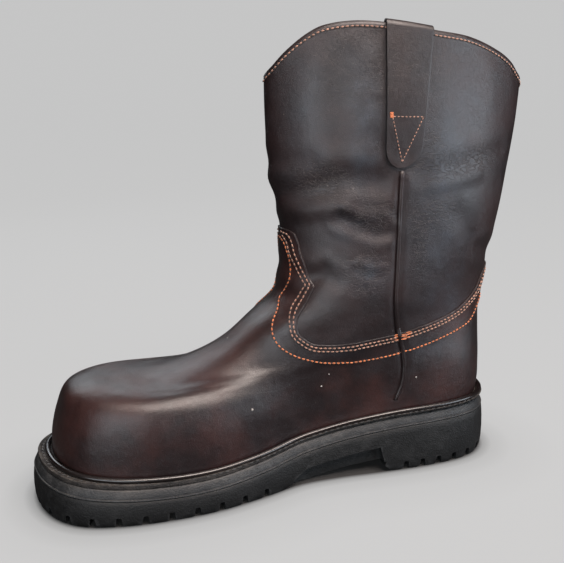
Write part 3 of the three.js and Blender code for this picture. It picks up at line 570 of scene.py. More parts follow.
def startMaterial(name, colour, **sockets):
    material = bpy.data.materials.new(name)
    material.use_nodes = True
    material.diffuse_color = (*colour, 1)
    tree = material.node_tree
    shader = tree.nodes["Principled BSDF"]
    shader.inputs["Base Color"].default_value = (*colour, 1)
    for key, value in sockets.items():
        label = {"coat": "Coat Weight", "coatRoughness": "Coat Roughness", "sheen": "Sheen Weight",
                 "specular": "Specular IOR Level", "roughness": "Roughness", "ior": "IOR"}[key]
        shader.inputs[label].default_value = value
    place = tree.nodes.new("ShaderNodeTexCoord").outputs["Object"]
    return material, tree, shader, place


def addBump(tree, shader, height, distance, strength=1.0, before=None):
    given = {"Height": height, "Strength": strength, "Distance": distance}
    if before is not None:
        given["Normal"] = before
    node = addNode(tree, "ShaderNodeBump", given)
    tree.links.new(node.outputs["Normal"], shader.inputs["Normal"])
    return node.outputs["Normal"]


# The grey-blue colour here serves both a faint wax bloom and the painted sheen
leatherLook = {
    "dark": (0.005, 0.003, 0.0033), "brown": (0.012, 0.0075, 0.0078), "red": (0.042, 0.0145, 0.012),
    "hazeAndSheen": (0.044, 0.052, 0.066), "dust": (0.3, 0.27, 0.24), "thread": (0.4, 0.21, 0.145),
    "orange": (0.62, 0.18, 0.06),
}


# Oiled leather. The grey-blue mix is a faint bloom of its wax everywhere and a painted sheen, strong where
# the sheen marks lie; warm the reddish brown that shows where it is rubbed.
def makeLeather(name, hazeAndSheen, warm, roughness, creases, cells=850.0, coat=0.25):
    look = leatherLook
    material, tree, shader, place = startMaterial(
        name, look["brown"], coat=coat, coatRoughness=0.38, specular=0.45)
    broad = useGroup(tree, "patches", Place=place, Scale=16.0, From=0.38, To=0.66).outputs["Mask"]
    small = useGroup(tree, "patches", Place=place, Scale=75.0, From=0.4, To=0.72).outputs["Mask"]
    grain = useGroup(tree, "grain", Place=place, Cells=cells, Creases=creases)
    dust = useGroup(tree, "dust", Place=place, Specks=0.5, Film=0.07).outputs["Mask"]
    colour = mixColour(tree, times(tree, broad, warm), look["brown"], look["red"])
    # painted sheen: the grey-blue is laid on strongly where the marks put a highlight
    bloom = addNode(tree, "ShaderNodeAttribute", attribute_name="bloom").outputs["Fac"]
    hazeAndSheenShare = times(tree, mapValue(tree, small, 0.0, 1.0, 0.45, 1.0), doMath(tree, "ADD", bloom, 0.08))
    colour = mixColour(tree, times(tree, hazeAndSheenShare, hazeAndSheen), colour, look["hazeAndSheen"])
    pores = mapValue(tree, grain.outputs["Pores"], 0.0, 1.0, 0.35, 0.0)
    colour = mixColour(tree, pores, colour, look["dark"])
    # darker within about 2 mm of a cut edge
    near = addNode(tree, "ShaderNodeAttribute", attribute_name="edgeDistance").outputs["Fac"]
    darkNearEdge = mapValue(tree, near, 0.0, 2.2, 0.55, 0.0)
    colour = mixColour(tree, darkNearEdge, colour, look["dark"])
    colour = mixColour(tree, times(tree, dust, 0.6), colour, look["dust"])
    tree.links.new(colour, shader.inputs["Base Color"])
    gloss = doMath(tree, "ADD", mapValue(tree, small, 0.0, 1.0, roughness, roughness + 0.1),
                   mapValue(tree, broad, 0.0, 1.0, -0.05, 0.05))
    tree.links.new(gloss, shader.inputs["Roughness"])
    wide = addNode(tree, "ShaderNodeTexNoise", {"Vector": place, "Scale": 42.0, "Detail": 4.0})
    first = addBump(tree, shader, wide.outputs["Fac"], 0.0025, 0.4)
    flat = addNode(tree, "ShaderNodeMapping", {
        "Vector": place, "Scale": (1.0, 1.0, 2.4), "Rotation": (0.0, 0.25, 0.0)})
    fine = addNode(tree, "ShaderNodeTexNoise", {
        "Vector": flat.outputs["Vector"], "Scale": 210.0, "Detail": 3.0, "Roughness": 0.55})
    ridge = doMath(tree, "ABSOLUTE", doMath(tree, "SUBTRACT", fine.outputs["Fac"], 0.5))
    crinkle = addNode(tree, "ShaderNodeAttribute", attribute_name="crinkle").outputs["Fac"]
    wrinkles = times(tree, mapValue(tree, ridge, 0.0, 0.05), crinkle)
    second = addBump(tree, shader, wrinkles, 0.0005, 0.9, first)
    addBump(tree, shader, grain.outputs["Height"], 0.00018, 0.45, second)
    return material


# Moulded rubber with lighter scuffs and edges, and dust
def makeRubber(name, colour, light, roughness, stipple, dusty=0.35, coat=0.0):
    material, tree, shader, place = startMaterial(name, colour, coat=coat, coatRoughness=0.3, specular=0.4)
    broad = useGroup(tree, "patches", Place=place, Scale=30.0, From=0.35, To=0.7).outputs["Mask"]
    worn = useGroup(tree, "wear", Place=place).outputs["Mask"]
    dust = useGroup(tree, "dust", Place=place, Specks=0.8, Film=dusty).outputs["Mask"]
    scuff = addNode(tree, "ShaderNodeTexNoise", {
        "Vector": place, "Scale": 220.0, "Detail": 6.0, "Roughness": 0.7})
    share = times(tree, broad, mapValue(tree, scuff.outputs["Fac"], 0.4, 0.7))
    tone = mixColour(tree, times(tree, share, 0.55), colour, light)
    tone = mixColour(tree, times(tree, worn, 0.6), tone, light)
    tone = mixColour(tree, dust, tone, (0.2, 0.18, 0.155))
    tree.links.new(tone, shader.inputs["Base Color"])
    tree.links.new(mapValue(tree, share, 0.0, 1.0, roughness, roughness + 0.12), shader.inputs["Roughness"])
    fine = addNode(tree, "ShaderNodeTexNoise", {"Vector": place, "Scale": 900.0, "Detail": 4.0})
    addBump(tree, shader, fine.outputs["Fac"], stipple, 0.6)
    return material


def makeThread(name, colour):
    material, tree, shader, place = startMaterial(name, colour, roughness=0.6, sheen=0.3)
    twist = addNode(tree, "ShaderNodeTexNoise", {"Vector": place, "Scale": 1400.0, "Detail": 2.0})
    patches = useGroup(tree, "patches", Place=place, Scale=90.0, From=0.35, To=0.65).outputs["Mask"]
    share = mapValue(tree, patches, 0.0, 1.0, 0.5, 0.0)
    dirty = mixColour(tree, share, colour, tuple(c * 0.3 for c in colour))
    tree.links.new(dirty, shader.inputs["Base Color"])
    addBump(tree, shader, twist.outputs["Fac"], 0.0002, 0.8)
    return material


def makeFabric(name, colour):
    material, tree, shader, place = startMaterial(name, colour, roughness=0.85, sheen=0.4)
    weave = addNode(tree, "ShaderNodeTexVoronoi", {"Vector": place, "Scale": 700.0})
    patches = useGroup(tree, "patches", Place=place, Scale=25.0, From=0.3, To=0.7).outputs["Mask"]
    share = mapValue(tree, patches, 0.0, 1.0, 0.0, 0.4)
    tone = mixColour(tree, share, colour, tuple(c * 0.55 for c in colour))
    tree.links.new(tone, shader.inputs["Base Color"])
    addBump(tree, shader, weave.outputs["Distance"], 0.0004, 0.6)
    return material


materials = {
    "shaft": makeLeather("shaftLeather", 0.9, 0.35, 0.41, 0.45),
    "vamp": makeLeather("vampLeather", 0.6, 0.9, 0.36, 0.3),
    "strap": makeLeather("strapLeather", 0.7, 0.3, 0.4, 0.3, 950.0),
    "piping": makeLeather("pipingLeather", 0.2, 0.4, 0.34, 0.2, 1100.0),
    "rawEdge": makeLeather("rawEdge", 0.1, 0.9, 0.7, 0.1, 1300.0, 0.0),
    "lining": makeFabric("liningFabric", (0.16, 0.105, 0.07)),
    "insole": makeFabric("insoleLeather", (0.2, 0.13, 0.085)),
    "outsole": makeRubber("soleRubber", (0.0045, 0.0047, 0.005), (0.027, 0.028, 0.029), 0.56, 0.0006, 0.16),
    "midsole": makeRubber("midsoleRubber", (0.017, 0.0178, 0.019), (0.085, 0.088, 0.09), 0.5, 0.0007, 0.25),
    "welt": makeRubber("weltRubber", (0.007, 0.006, 0.006), (0.075, 0.065, 0.058), 0.6, 0.0016, 0.45),
    "bead": makeRubber("beadRubber", (0.007, 0.005, 0.005), (0.02, 0.014, 0.012), 0.2, 0.00012, 0.03, 0.6),
    "thread": makeThread("beigeThread", leatherLook["thread"]),
    "orange": makeThread("orangeThread", leatherLook["orange"]),
    "blackThread": makeThread("darkThread", (0.03, 0.028, 0.027)),
    # near-black blobs painted for the shade in the needle holes
    "hole": makeThread("needleHoleShade", (0.004, 0.003, 0.003)),
    "lint": makeThread("lint", (0.55, 0.52, 0.48)),
}
print("materials made")


# Upper edge of vamp and counter from the side, as (station, height) shares of the throat and the vamp's peak
vampLine = {
    "front": [(0.902, 0.783), (0.919, 0.815), (0.948, 0.894), (0.963, 0.956), (1.0, 0.99), (1.2, 1.02)],
    "back": [(-0.08, 0.805), (-0.03, 0.795), (0.015, 0.757), (0.045, 0.718), (0.08, 0.688), (0.125, 0.664),
             (0.19, 0.635), (0.33, 0.602), (0.496, 0.576), (0.651, 0.564), (0.782, 0.556), (0.855, 0.557),
             (0.916, 0.563), (0.958, 0.584), (0.9875, 0.61), (0.992, 0.647), (0.979, 0.678), (0.935, 0.734),
             (0.902, 0.783)],
}


# A smooth line through points of the side view
def splineThrough(points, cuts=10):
    points = np.array(points, float)
    padded = np.vstack([points[:1], points, points[-1:]])
    t = np.linspace(0, 1, cuts, endpoint=False)[:, None]
    runs = []
    for i in range(len(points) - 1):
        a, b, c, d = padded[i:i + 4]
        m0, m1 = (c - a) / 2, (d - b) / 2
        runs.append((2 * t**3 - 3 * t**2 + 1) * b + (t**3 - 2 * t**2 + t) * m0
                    + (3 * t**2 - 2 * t**3) * c + (t**3 - t**2) * m1)
    return np.vstack(runs + [points[-1:]])


def fromShares(rows):
    return [(sole["heelLedge"] + a * last["throat"], b * shaft["vampPeak"]) for a, b in rows]


edgeLine = np.vstack([splineThrough(fromShares(vampLine["back"])),
                      splineThrough(fromShares(vampLine["front"]))[1:]])
belowEdge = np.vstack([edgeLine, [(edgeLine[-1][0] + 300, edgeLine[-1][1]), (600, -100), (-300, -100),
                                  (-300, edgeLine[0][1])]])


def insideOutline(points, outline):
    inside = np.zeros(len(points), bool)
    for (ax, ay), (bx, by) in zip(outline, np.roll(outline, -1, axis=0)):
        crosses = (ay > points[:, 1]) != (by > points[:, 1])
        if ay != by:
            inside ^= crosses & (points[:, 0] < ax + (points[:, 1] - ay) * (bx - ax) / (by - ay))
    return inside


# How far points lie below the vamp's upper edge; negative above it
def edgeDistance(points):
    side = sideView(points)
    return distanceToLine(side, edgeLine) * np.where(insideOutline(side, belowEdge), 1, -1)


upperMesh = {"around": 320, "rows": 190, "wall": 1.1, "lap": 7.0}


# Cuts a mesh along the line where its edgeDistance is zero and keeps the side below it
def trimToLine(bm, layer):
    nearest = {}
    for edge in bm.edges:
        a, b = edge.verts
        if a[layer] * b[layer] < 0:
            t = a[layer] / (a[layer] - b[layer])
            for vert, other, share in ((a, b, t), (b, a, 1 - t)):
                if share < 0.22 and share < nearest.get(vert, (1, None))[0]:
                    nearest[vert] = (share, vert.co.lerp(other.co, share))
    for vert, (share, place) in nearest.items():
        vert.co = place
        vert[layer] = 0.0
    crossing = [edge for edge in bm.edges if edge.verts[0][layer] * edge.verts[1][layer] < 0]
    for edge in crossing:
        a, b = edge.verts
        fa, fb = a[layer], b[layer]
        _, new = bmesh.utils.edge_split(edge, a, fa / (fa - fb))
        new[layer] = 0.0
    onLine = [vert for vert in bm.verts if vert[layer] == 0.0]
    bmesh.ops.connect_verts(bm, verts=onLine)
    outside = [face for face in bm.faces if sum(vert[layer] for vert in face.verts) <= 1e-9]
    bmesh.ops.delete(bm, geom=outside, context="FACES")
    return bm


# Face of the leather with the values that its material reads
def skinPlace(off):
    def place(turn, level):
        points = upperFace(turn, level, off)
        extra = {"edgeDistance": np.full(len(turn), 9.0)}
        return points, {**extra, **{name: markAt(name, points) for name in marks}}
    return place


def buildShaft():
    bm = tube(upperMesh["around"], upperMesh["rows"], skinPlace(0.0))
    points = np.array([v.co for v in bm.verts])
    below = edgeDistance(points)
    for vert, depth in zip(bm.verts, below):
        vert.tag = depth > upperMesh["lap"]
    bmesh.ops.delete(bm, geom=[v for v in bm.verts if v.tag], context="VERTS")
    faceOutwards(bm, Vector((backX - 70, midY, 180)))
    obj = makeObject("shaft", bm, [materials["shaft"], materials["rawEdge"]])
    addSolidify(obj, upperMesh["wall"], rim=1)
    return keep(obj, replaces=["upper"])


def buildVamp():
    bm = tube(upperMesh["around"], upperMesh["rows"], skinPlace(shaft["overlay"]))
    layer = bm.verts.layers.float["edgeDistance"]
    points = np.array([v.co for v in bm.verts])
    for vert, distance in zip(bm.verts, edgeDistance(points)):
        vert[layer] = float(distance)
    trimToLine(bm, layer)
    faceOutwards(bm, Vector((backX - 120, midY, 80)))
    obj = makeObject("vamp", bm, [materials["vamp"], materials["rawEdge"]])
    addSolidify(obj, shaft["overlay"] - 0.05, rim=1)
    return keep(obj, replaces=["upper"])


def buildLining():
    inside = -upperMesh["wall"] - 0.05

    def place(turn, level):
        points = upperPoint(turn, level * 0.997)
        fade = np.clip(np.minimum(level / 0.08, (1 - level) / 0.04), 0, 1)
        move = inside + foldDepth(points) * fade
        return points + upperNormal(turn, level * 0.997) * move[:, None], {}
    bm = tube(160, 90, place)
    faceOutwards(bm, Vector((backX - 120, midY, 120)))
    obj = makeObject("lining", bm, [materials["lining"]])
    addSolidify(obj, shaft["leather"] - upperMesh["wall"] - 0.1)
    return keep(obj, replaces=["upper"])


buildShaft()
buildVamp()
buildLining()
print("upper made")


# Stitches: short rounded threads laid along a line on a surface
def layStitches(bm, points, normals, length, width, sink=0.3, slant=0.0):
    tangents = np.gradient(points, axis=0) if len(points) > 1 else np.array([[1.0, 0.0, 0.0]])
    batch = bmesh.new()
    for i, (point, normal, tangent) in enumerate(zip(points, normals, tangents)):
        up = Vector(normal).normalized()
        along = Vector(tangent)
        along = (along - up * along.dot(up)).normalized()
        if slant:
            along.rotate(Matrix.Rotation(slant, 3, up))
        across = up.cross(along)
        axes = Matrix((along, across, up)).transposed().to_4x4()
        size = Matrix.Diagonal((length / 2, width / 2, width * 0.42, 1))
        spot = Matrix.Translation(Vector(point) + up * (width * 0.42 - sink)) @ axes @ size
        bmesh.ops.create_uvsphere(batch, u_segments=8, v_segments=5, radius=1, matrix=spot @ turnPole)
        if i % 30 == 29 or i == len(points) - 1:
            made = bpy.data.meshes.new("batch")
            batch.to_mesh(made)
            bm.from_mesh(made)
            bpy.data.meshes.remove(made)
            batch.clear()
    batch.free()


turnPole = Matrix.Rotation(math.pi / 2, 4, "Y")


def evenly(points, normals, pitch):
    steps = np.linalg.norm(np.diff(points, axis=0), axis=1)
    run = np.concatenate([[0], np.cumsum(steps)])
    count = max(2, int(round(run[-1] / pitch)))
    wanted = (np.arange(count) + 0.5) * run[-1] / count
    pick = [np.interp(wanted, run, column) for column in (*points.T, *normals.T)]
    return np.stack(pick[:3], axis=1), np.stack(pick[3:], axis=1)


def offsetLine(line, distance):
    along = np.gradient(line, axis=0)
    along /= np.linalg.norm(along, axis=1, keepdims=True)
    moved = line + np.stack([along[:, 1], -along[:, 0]], axis=1) * distance
    return moved[distanceToLine(moved, line) > abs(distance) * 0.985]


# Brings a side view line onto the upper, on one side, as far as the middle of the front and back
def lineOnUpper(inner, line, off):
    turn, level = sidePlace(inner, line[:, 0], line[:, 1])
    points = upperFace(turn, level, off)
    kept = np.abs(points[:, 1] - midY) > 0.6
    first, final = np.argmax(kept), len(kept) - np.argmax(kept[::-1])
    return points[first:final], upperNormal(turn, level)[first:final]


stitching = {
    "length": 2.2, "width": 1.15, "pitch": 3.1, "hole": 1.0, "rows": (2.0, 4.3), "collar": 3.3,
    "outerRow": [(166, 170.5), (156, 168), (151.5, 164.3), (148.9, 155), (148.4, 146.6), (149.4, 135.2),
                 (157.2, 119.7), (163.7, 110.5), (165, 103.3), (161.1, 95.6), (151.4, 89.2), (140.7, 85.6),
                 (128.9, 83.2), (111.4, 82.2), (94, 83), (79.2, 84.8), (64.3, 87.2), (47.9, 91),
                 (31.2, 95.3), (21, 98.8), (14.8, 104.1), (9, 110.5), (2, 117), (-8, 122), (-20, 124)],
}
# Three short bars across the seam: (s, how far proud) of each one's threads, and the height of each bar
seamBars = {"steps": ((81.3, 0.1), (76.9, 1.9), (72.6, 0.1)), "heights": (98.9, 97.6, 95.4), "tilt": 0.12,
            "length": 4.6, "width": 0.85}
# Specks of lint on the vamp: (s, z, radius)
lintSpecks = [(184.5, 59.6, 0.75), (134.3, 66.8, 0.5), (65.9, 65.9, 0.5), (128.9, 74.9, 0.35), (206, 95, 0.3)]


# A row of threads with a dark blob between each two, the painted shade of the needle hole
def sewRow(threads, holes, points, normals):
    size = stitching
    tight, upwards = evenly(points, normals, size["pitch"])
    layStitches(threads, tight, upwards, size["length"], size["width"], 0.12)
    between = (tight[1:] + tight[:-1]) / 2
    layStitches(holes, between, (upwards[1:] + upwards[:-1]) / 2, size["hole"], size["width"] * 1.15, 0.3)


def buildVampStitches():
    pale, orange, holes, bars = bmesh.new(), bmesh.new(), bmesh.new(), bmesh.new()
    rows = [(offsetLine(edgeLine, distance), pale) for distance in stitching["rows"]]
    rows.append((splineThrough(stitching["outerRow"])[::-1], orange))
    for inner in (True, False):
        for line, threads in rows:
            points, normals = lineOnUpper(inner, line, shaft["overlay"])
            sewRow(threads, holes, points, normals)
        for height in seamBars["heights"]:
            for s, off in seamBars["steps"]:
                sloped = height + (seamBars["steps"][1][0] - s) * seamBars["tilt"]
                layStitches(bars, *onUpper(inner, s, sloped, shaft["overlay"] + off),
                            seamBars["length"], seamBars["width"], 0.1)
    keep(makeObject("vamp_stitches", pale, [materials["thread"]]))
    keep(makeObject("outer_vamp_row", orange, [materials["orange"]]))
    keep(makeObject("vamp_holes", holes, [materials["hole"]]))
    keep(makeObject("seam_bars", bars, [materials["orange"]]))


def buildSpecks():
    bm = bmesh.new()
    for s, z, size in lintSpecks:
        spot = Matrix.Translation(Vector(onUpper(True, s, z, shaft["overlay"] + 0.1)[0][0]))
        bmesh.ops.create_uvsphere(bm, u_segments=7, v_segments=5, radius=size, matrix=spot)
    keep(makeObject("lint", bm, [materials["lint"]]))


def buildCollarStitches():
    threads, holes = bmesh.new(), bmesh.new()
    turn = np.linspace(0, 1, 700)
    rim, under = upperPoint(turn, np.ones(700)), upperPoint(turn, np.full(700, 0.98))
    level = 1 - 0.02 * stitching["collar"] / np.linalg.norm(rim - under, axis=1)
    sewRow(threads, holes, upperFace(turn, level, 0.0), upperNormal(turn, level))
    keep(makeObject("collar_stitches", threads, [materials["thread"]]))
    keep(makeObject("collar_holes", holes, [materials["hole"]]))


buildVampStitches()
buildCollarStitches()
buildSpecks()
print("stitches laid")


# The triangle sewn through a strap's end and the bar at its corner, as (s, z) and s
strapSewing = {
    "corners": [(88.3, 243.0), (67.8, 242.4), (82.2, 214.6)], "pitch": 2.3,
    "bar": (90.0, 87.6), "barHeight": 242.7, "barStep": 0.9, "barThreads": 4,
}


# Middle of a side's strap, the collar's height there, and the level where its outer leg ends
def strapPlace(inner):
    middle = sole["heelLedge"] + strap["station"] * last["throat"]
    rim = float(upperPoint(turnAt(inner, middle, np.array(1.0)), np.array(1.0))[..., 2])
    return middle, rim, float(sidePlace(inner, middle, rim - strap["length"])[1])


def buildStrap(side):
    inner = side == "inner"
    middle, rim, bottom = strapPlace(inner)
    tail = float(sidePlace(inner, middle, rim - strap["tail"])[1])
    lay = strap["lay"] + strap["thickness"] / 2
    outerEnd, overRim, closer = 0.55, 0.62, 0.2  # shares of the strap's run; closer rows round its end
    radius = strap["endWidth"] / 2

    def place(along, across):
        along = np.where(along < closer, (along / closer) ** 1.5 * closer, along)
        leg = np.clip(along / outerEnd, 0, 1)
        level = mix(bottom, 1, leg)
        behind = np.clip((along - overRim) / (1 - overRim), 0, 1)
        level = np.where(along > overRim, mix(1, tail, behind), level)
        swing = np.clip((along - outerEnd) / (overRim - outerEnd), 0, 1) * np.pi
        climb = leg * strap["length"]
        rest = np.clip((radius - climb) / radius, 0, 1)
        half = mix(radius, strap["width"] / 2, leg) * np.maximum(0.12, np.sqrt(1 - rest**2))
        distance = middle + strap["lean"] * (1 - leg) + (across * 2 - 1) * half
        turn = turnAt(inner, distance, level)
        wall = upperFace(turn, level, -shaft["leather"] / 2)
        out = upperNormal(turn, level)
        slack = 0.5 * np.clip((climb - 30) / 40, 0, 1) * (along < outerEnd)
        points = wall + out * ((shaft["leather"] / 2 + lay + slack) * np.cos(swing))[:, None]
        points[:, 2] += lay * np.sin(swing)
        edge = np.minimum(half * (1 - np.abs(across * 2 - 1)), np.where(along < outerEnd, climb, 20))
        return points, {"edgeDistance": edge + 1.0}
    bm = sheet(150, 28, place)
    faceOutwards(bm, Vector((backX - middle, midY, rim - 60)))
    obj = makeObject(f"strap_{side}", bm, [materials["strap"], materials["rawEdge"]])
    addSolidify(obj, strap["thickness"], 0.0, rim=1)
    bevel = obj.modifiers.new("edge", "BEVEL")
    bevel.width, bevel.segments, bevel.limit_method, bevel.angle_limit = 0.0005, 2, "ANGLE", math.radians(50)
    keep(obj, replaces=[f"pull_strap_{side}"])

    threads, bar, holes = bmesh.new(), bmesh.new(), bmesh.new()
    off = strap["lay"] + strap["thickness"]
    corners = strapSewing["corners"]
    for (a, b), (c, d) in zip(corners, corners[1:] + corners[:1]):
        count = max(2, int(math.hypot(c - a, d - b) / strapSewing["pitch"]))
        share = (np.arange(count) + 0.5) / count
        layStitches(threads, *onUpper(inner, mix(a, c, share), mix(b, d, share), off), 1.5, 0.75, 0.2)
        # dark blobs as painted shade in the needle holes at the stitches' ends
        share = np.arange(count + 1) / count
        layStitches(holes, *onUpper(inner, mix(a, c, share), mix(b, d, share), off), 0.9, 0.85, 0.25)
    for k in range(strapSewing["barThreads"]):
        height = strapSewing["barHeight"] + k * strapSewing["barStep"]
        points, normals = onUpper(inner, strapSewing["bar"], height, off)
        layStitches(bar, points.mean(axis=0, keepdims=True), normals[:1], 2.7, 0.9, 0.1)
    keep(makeObject(f"strap_stitches_{side}", threads, [materials["thread"]]))
    keep(makeObject(f"strap_holes_{side}", holes, [materials["hole"]]))
    keep(makeObject(f"strap_bar_{side}", bar, [materials["orange"]]))


def buildPiping(side):
    inner = side == "inner"
    top = strapPlace(inner)[2] - 0.004
    edge = piping["edge"] * shaft["vampPeak"]

    def place(along, around):
        level = mix(piping["foot"], top, along)
        angle = 2 * np.pi * around
        centre = sole["heelLedge"] + seam(level)["station"] * last["throat"]
        turn = turnAt(inner, centre, level)
        height = upperPoint(turn, level)[:, 2]
        step = shaft["overlay"] * np.clip((edge + 3 - height) / 5, 0, 1)
        across = np.cos(angle) * piping["width"] / 2
        lift = np.maximum(np.sin(angle), -0.25) * piping["height"]
        turn = turnAt(inner, centre + across, level)
        end = np.sqrt(np.clip(np.minimum(along, 1 - along) / 0.008, 0, 1))
        rise = step + piping["lay"] + lift * end
        points = upperFace(turn, level, 0.0) + upperNormal(turn, level) * rise[:, None]
        return points, {"edgeDistance": np.full(len(along), 4.0)}
    bm = sheet(170, 14, place)
    bmesh.ops.holes_fill(bm, edges=bm.edges, sides=0)
    bmesh.ops.recalc_face_normals(bm, faces=bm.faces)
    obj = makeObject(f"piping_{side}", bm, [materials["piping"]])
    keep(obj, replaces=[f"side_piping_{side}"])


for side in ("inner", "outer"):
    buildStrap(side)
    buildPiping(side)
print("straps and piping made")


# Feather line of the last from above, and lines parallel to it
def lastLine(turn):
    turn = np.mod(turn, 1)
    inner = turn <= 0.5
    angle = 2 * np.pi * np.where(inner, turn, 1 - turn)
    foot = feather(angle)
    half = np.where(inner, -foot["inner"], foot["outer"]) * last["ballWidth"]
    return np.stack([backX - sole["heelLedge"] - stationAt(angle) * last["length"], midY + half], axis=-1)


def outline(turn, off):
    along = lastLine(turn + 0.002) - lastLine(turn - 0.002)
    along /= np.linalg.norm(along, axis=-1, keepdims=True)
    return lastLine(turn) - np.stack([along[:, 1], -along[:, 0]], axis=1) * np.asarray(off)[..., None]


def ringTurns(count):
    return np.arange(count) / count


def stationOf(turn):
    turn = np.mod(turn, 1)
    return stationAt(2 * np.pi * np.where(turn <= 0.5, turn, 1 - turn))


# Distances past the feather line and heights, as functions of the station, for the rows below
def beyond(extra):
    return lambda t: ledgeAt(t) + extra


def above(height, extra):
    return lambda t: height(t) + extra


def level(height):
    return lambda t: np.full(len(t), float(height))


# Rings around the sole, bridged one to the next; each row gives its offset and height at every station
def ringSkin(rows, count=260, endless=False, capped=True):
    bm = bmesh.new()
    turn = ringTurns(count)
    station = stationOf(turn)
    rings = []
    for off, height in rows:
        flat = outline(turn, off(station) if callable(off) else np.full(count, float(off)))
        z = height(station)
        made = bmesh.ops.create_circle(bm, cap_ends=False, segments=count, radius=1)["verts"]
        for vert, place, up in zip(made, flat, z):
            vert.co = (place[0], place[1], up)
        rings.append(made)
    bm.edges.ensure_lookup_table()

    def ringEdges(ring):
        return [bm.edges.get((ring[i], ring[(i + 1) % count])) for i in range(count)]
    pairs = list(zip(rings[:-1], rings[1:])) + ([(rings[-1], rings[0])] if endless else [])
    for low, high in pairs:
        bmesh.ops.bridge_loops(bm, edges=ringEdges(low) + ringEdges(high))
    if capped and not endless:
        half = count // 2
        for ring in (rings[0], rings[-1]):
            near = [bm.edges.get((ring[i], ring[i + 1])) for i in range(1, half - 1)]
            far = [bm.edges.get((ring[i], ring[i + 1])) for i in range(half + 1, count - 1)]
            bmesh.ops.bridge_loops(bm, edges=near + far)
        bmesh.ops.holes_fill(bm, edges=[e for e in bm.edges if e.is_boundary], sides=4)
    bmesh.ops.recalc_face_normals(bm, faces=bm.faces)
    return bm


def cutWith(obj, tool, operation="DIFFERENCE"):
    change = obj.modifiers.new("cut", "BOOLEAN")
    change.operation, change.solver, change.object = operation, "EXACT", tool
    mesh = bpy.data.meshes.new_from_object(obj.evaluated_get(bpy.context.evaluated_depsgraph_get()))
    obj.modifiers.clear()
    obj.data = mesh
    bpy.data.objects.remove(tool)


# A side view outline of (s, z) points made a block right across the boot
def sideBlock(points, reach=90.0):
    bm = bmesh.new()
    verts = [bm.verts.new((backX - s, midY - reach, z)) for s, z in points]
    face = bmesh.ops.contextual_create(bm, geom=verts)["faces"]
    moved = bmesh.ops.extrude_face_region(bm, geom=face)["geom"]
    verts = [v for v in moved if isinstance(v, bmesh.types.BMVert)]
    bmesh.ops.translate(bm, vec=(0, 2 * reach, 0), verts=verts)
    bmesh.ops.recalc_face_normals(bm, faces=bm.faces)
    return makeObject("tool", bm, [])


# Measures of the tread that the dictionary of the sole doesn't give
tread = {
    "breastRun": 9.5, "footRun": 6.0, "footRise": 5.0, "waistReach": 20.0, "forepartReach": 14.0,
    "breastLap": 4.0, "block": 11.0, "blockWidth": 34.0, "toeBlockWidth": 24.0, "heelBlock": 30.0,
    "rounding": 5.4, "roundingDrop": 3.5, "roundingLength": 24.0, "edge": 0.6,
}


# Turns at an even pitch along the edge of the sole
def evenTurns(start, end, pitch):
    turn = np.linspace(start, end, 600)
    edge = outline(turn, ledgeAt(stationOf(turn)))
    run = np.concatenate([[0], np.cumsum(np.linalg.norm(np.diff(edge, axis=0), axis=1))])
    count = max(2, int(round(run[-1] / pitch)))
    return np.interp(np.arange(1, count) * run[-1] / count, run, turn)


def notchTurns():
    breast = float(roundEnds((sole["heelLength"] - tread["breastLap"]) / last["length"])) / (2 * np.pi)
    waist = float(roundEnds((last["throat"] + tread["forepartReach"]) / last["length"])) / (2 * np.pi)
    return np.concatenate([
        evenTurns(waist, 1 - waist, sole["lugPitch"]), evenTurns(-breast, breast, sole["heelPitch"])])


# Place at the mouth of each notch, with X pointing out of the sole
def notchPlaces():
    for turn in notchTurns():
        spot = np.array([turn])
        ledge = ledgeAt(stationOf(spot))
        out, edge = outline(spot, ledge + 4)[0], outline(spot, ledge)[0]
        height = float(treadHeight(stationOf(spot))[0])
        turned = Matrix.Rotation(math.atan2(*(out - edge)[::-1]), 4, "Z")
        yield (out[0], out[1], height), turned


def notchTools():
    bm = bmesh.new()
    for mouth, turned in notchPlaces():
        made = bmesh.ops.create_cube(bm, size=1)["verts"]
        top = [v for v in made if v.co.z > 0]
        bmesh.ops.scale(bm, vec=(1, 0.5, 1), verts=top)
        place = Matrix.Translation(mouth) @ turned
        place = place @ Matrix.Translation((-sole["notchReach"] / 2, 0, sole["lug"] / 2 - 2))
        size = Matrix.Diagonal((sole["notchReach"] + 8, sole["notch"] * 1.15, sole["lug"] + 4, 1))
        bmesh.ops.transform(bm, matrix=place @ size, verts=made)
        upper = [e for e in bm.edges if all(v in top for v in e.verts)]
        bmesh.ops.bevel(bm, geom=upper, offset=0.7, segments=2, profile=0.5, affect="EDGES", material=-1)
    return makeObject("tool", bm, [])


# Round bars across the mouths of the notches, which round the corners of the lugs
def lugRounding():
    bm = bmesh.new()
    for (x, y, z), turned in notchPlaces():
        place = Matrix.Translation((x, y, z - tread["roundingDrop"])) @ turned
        bmesh.ops.create_cone(bm, cap_ends=True, segments=20, radius1=tread["rounding"],
                              radius2=tread["rounding"], depth=tread["roundingLength"],
                              matrix=place @ Matrix.Rotation(math.pi / 2, 4, "Y"))
    return makeObject("tool", bm, [])


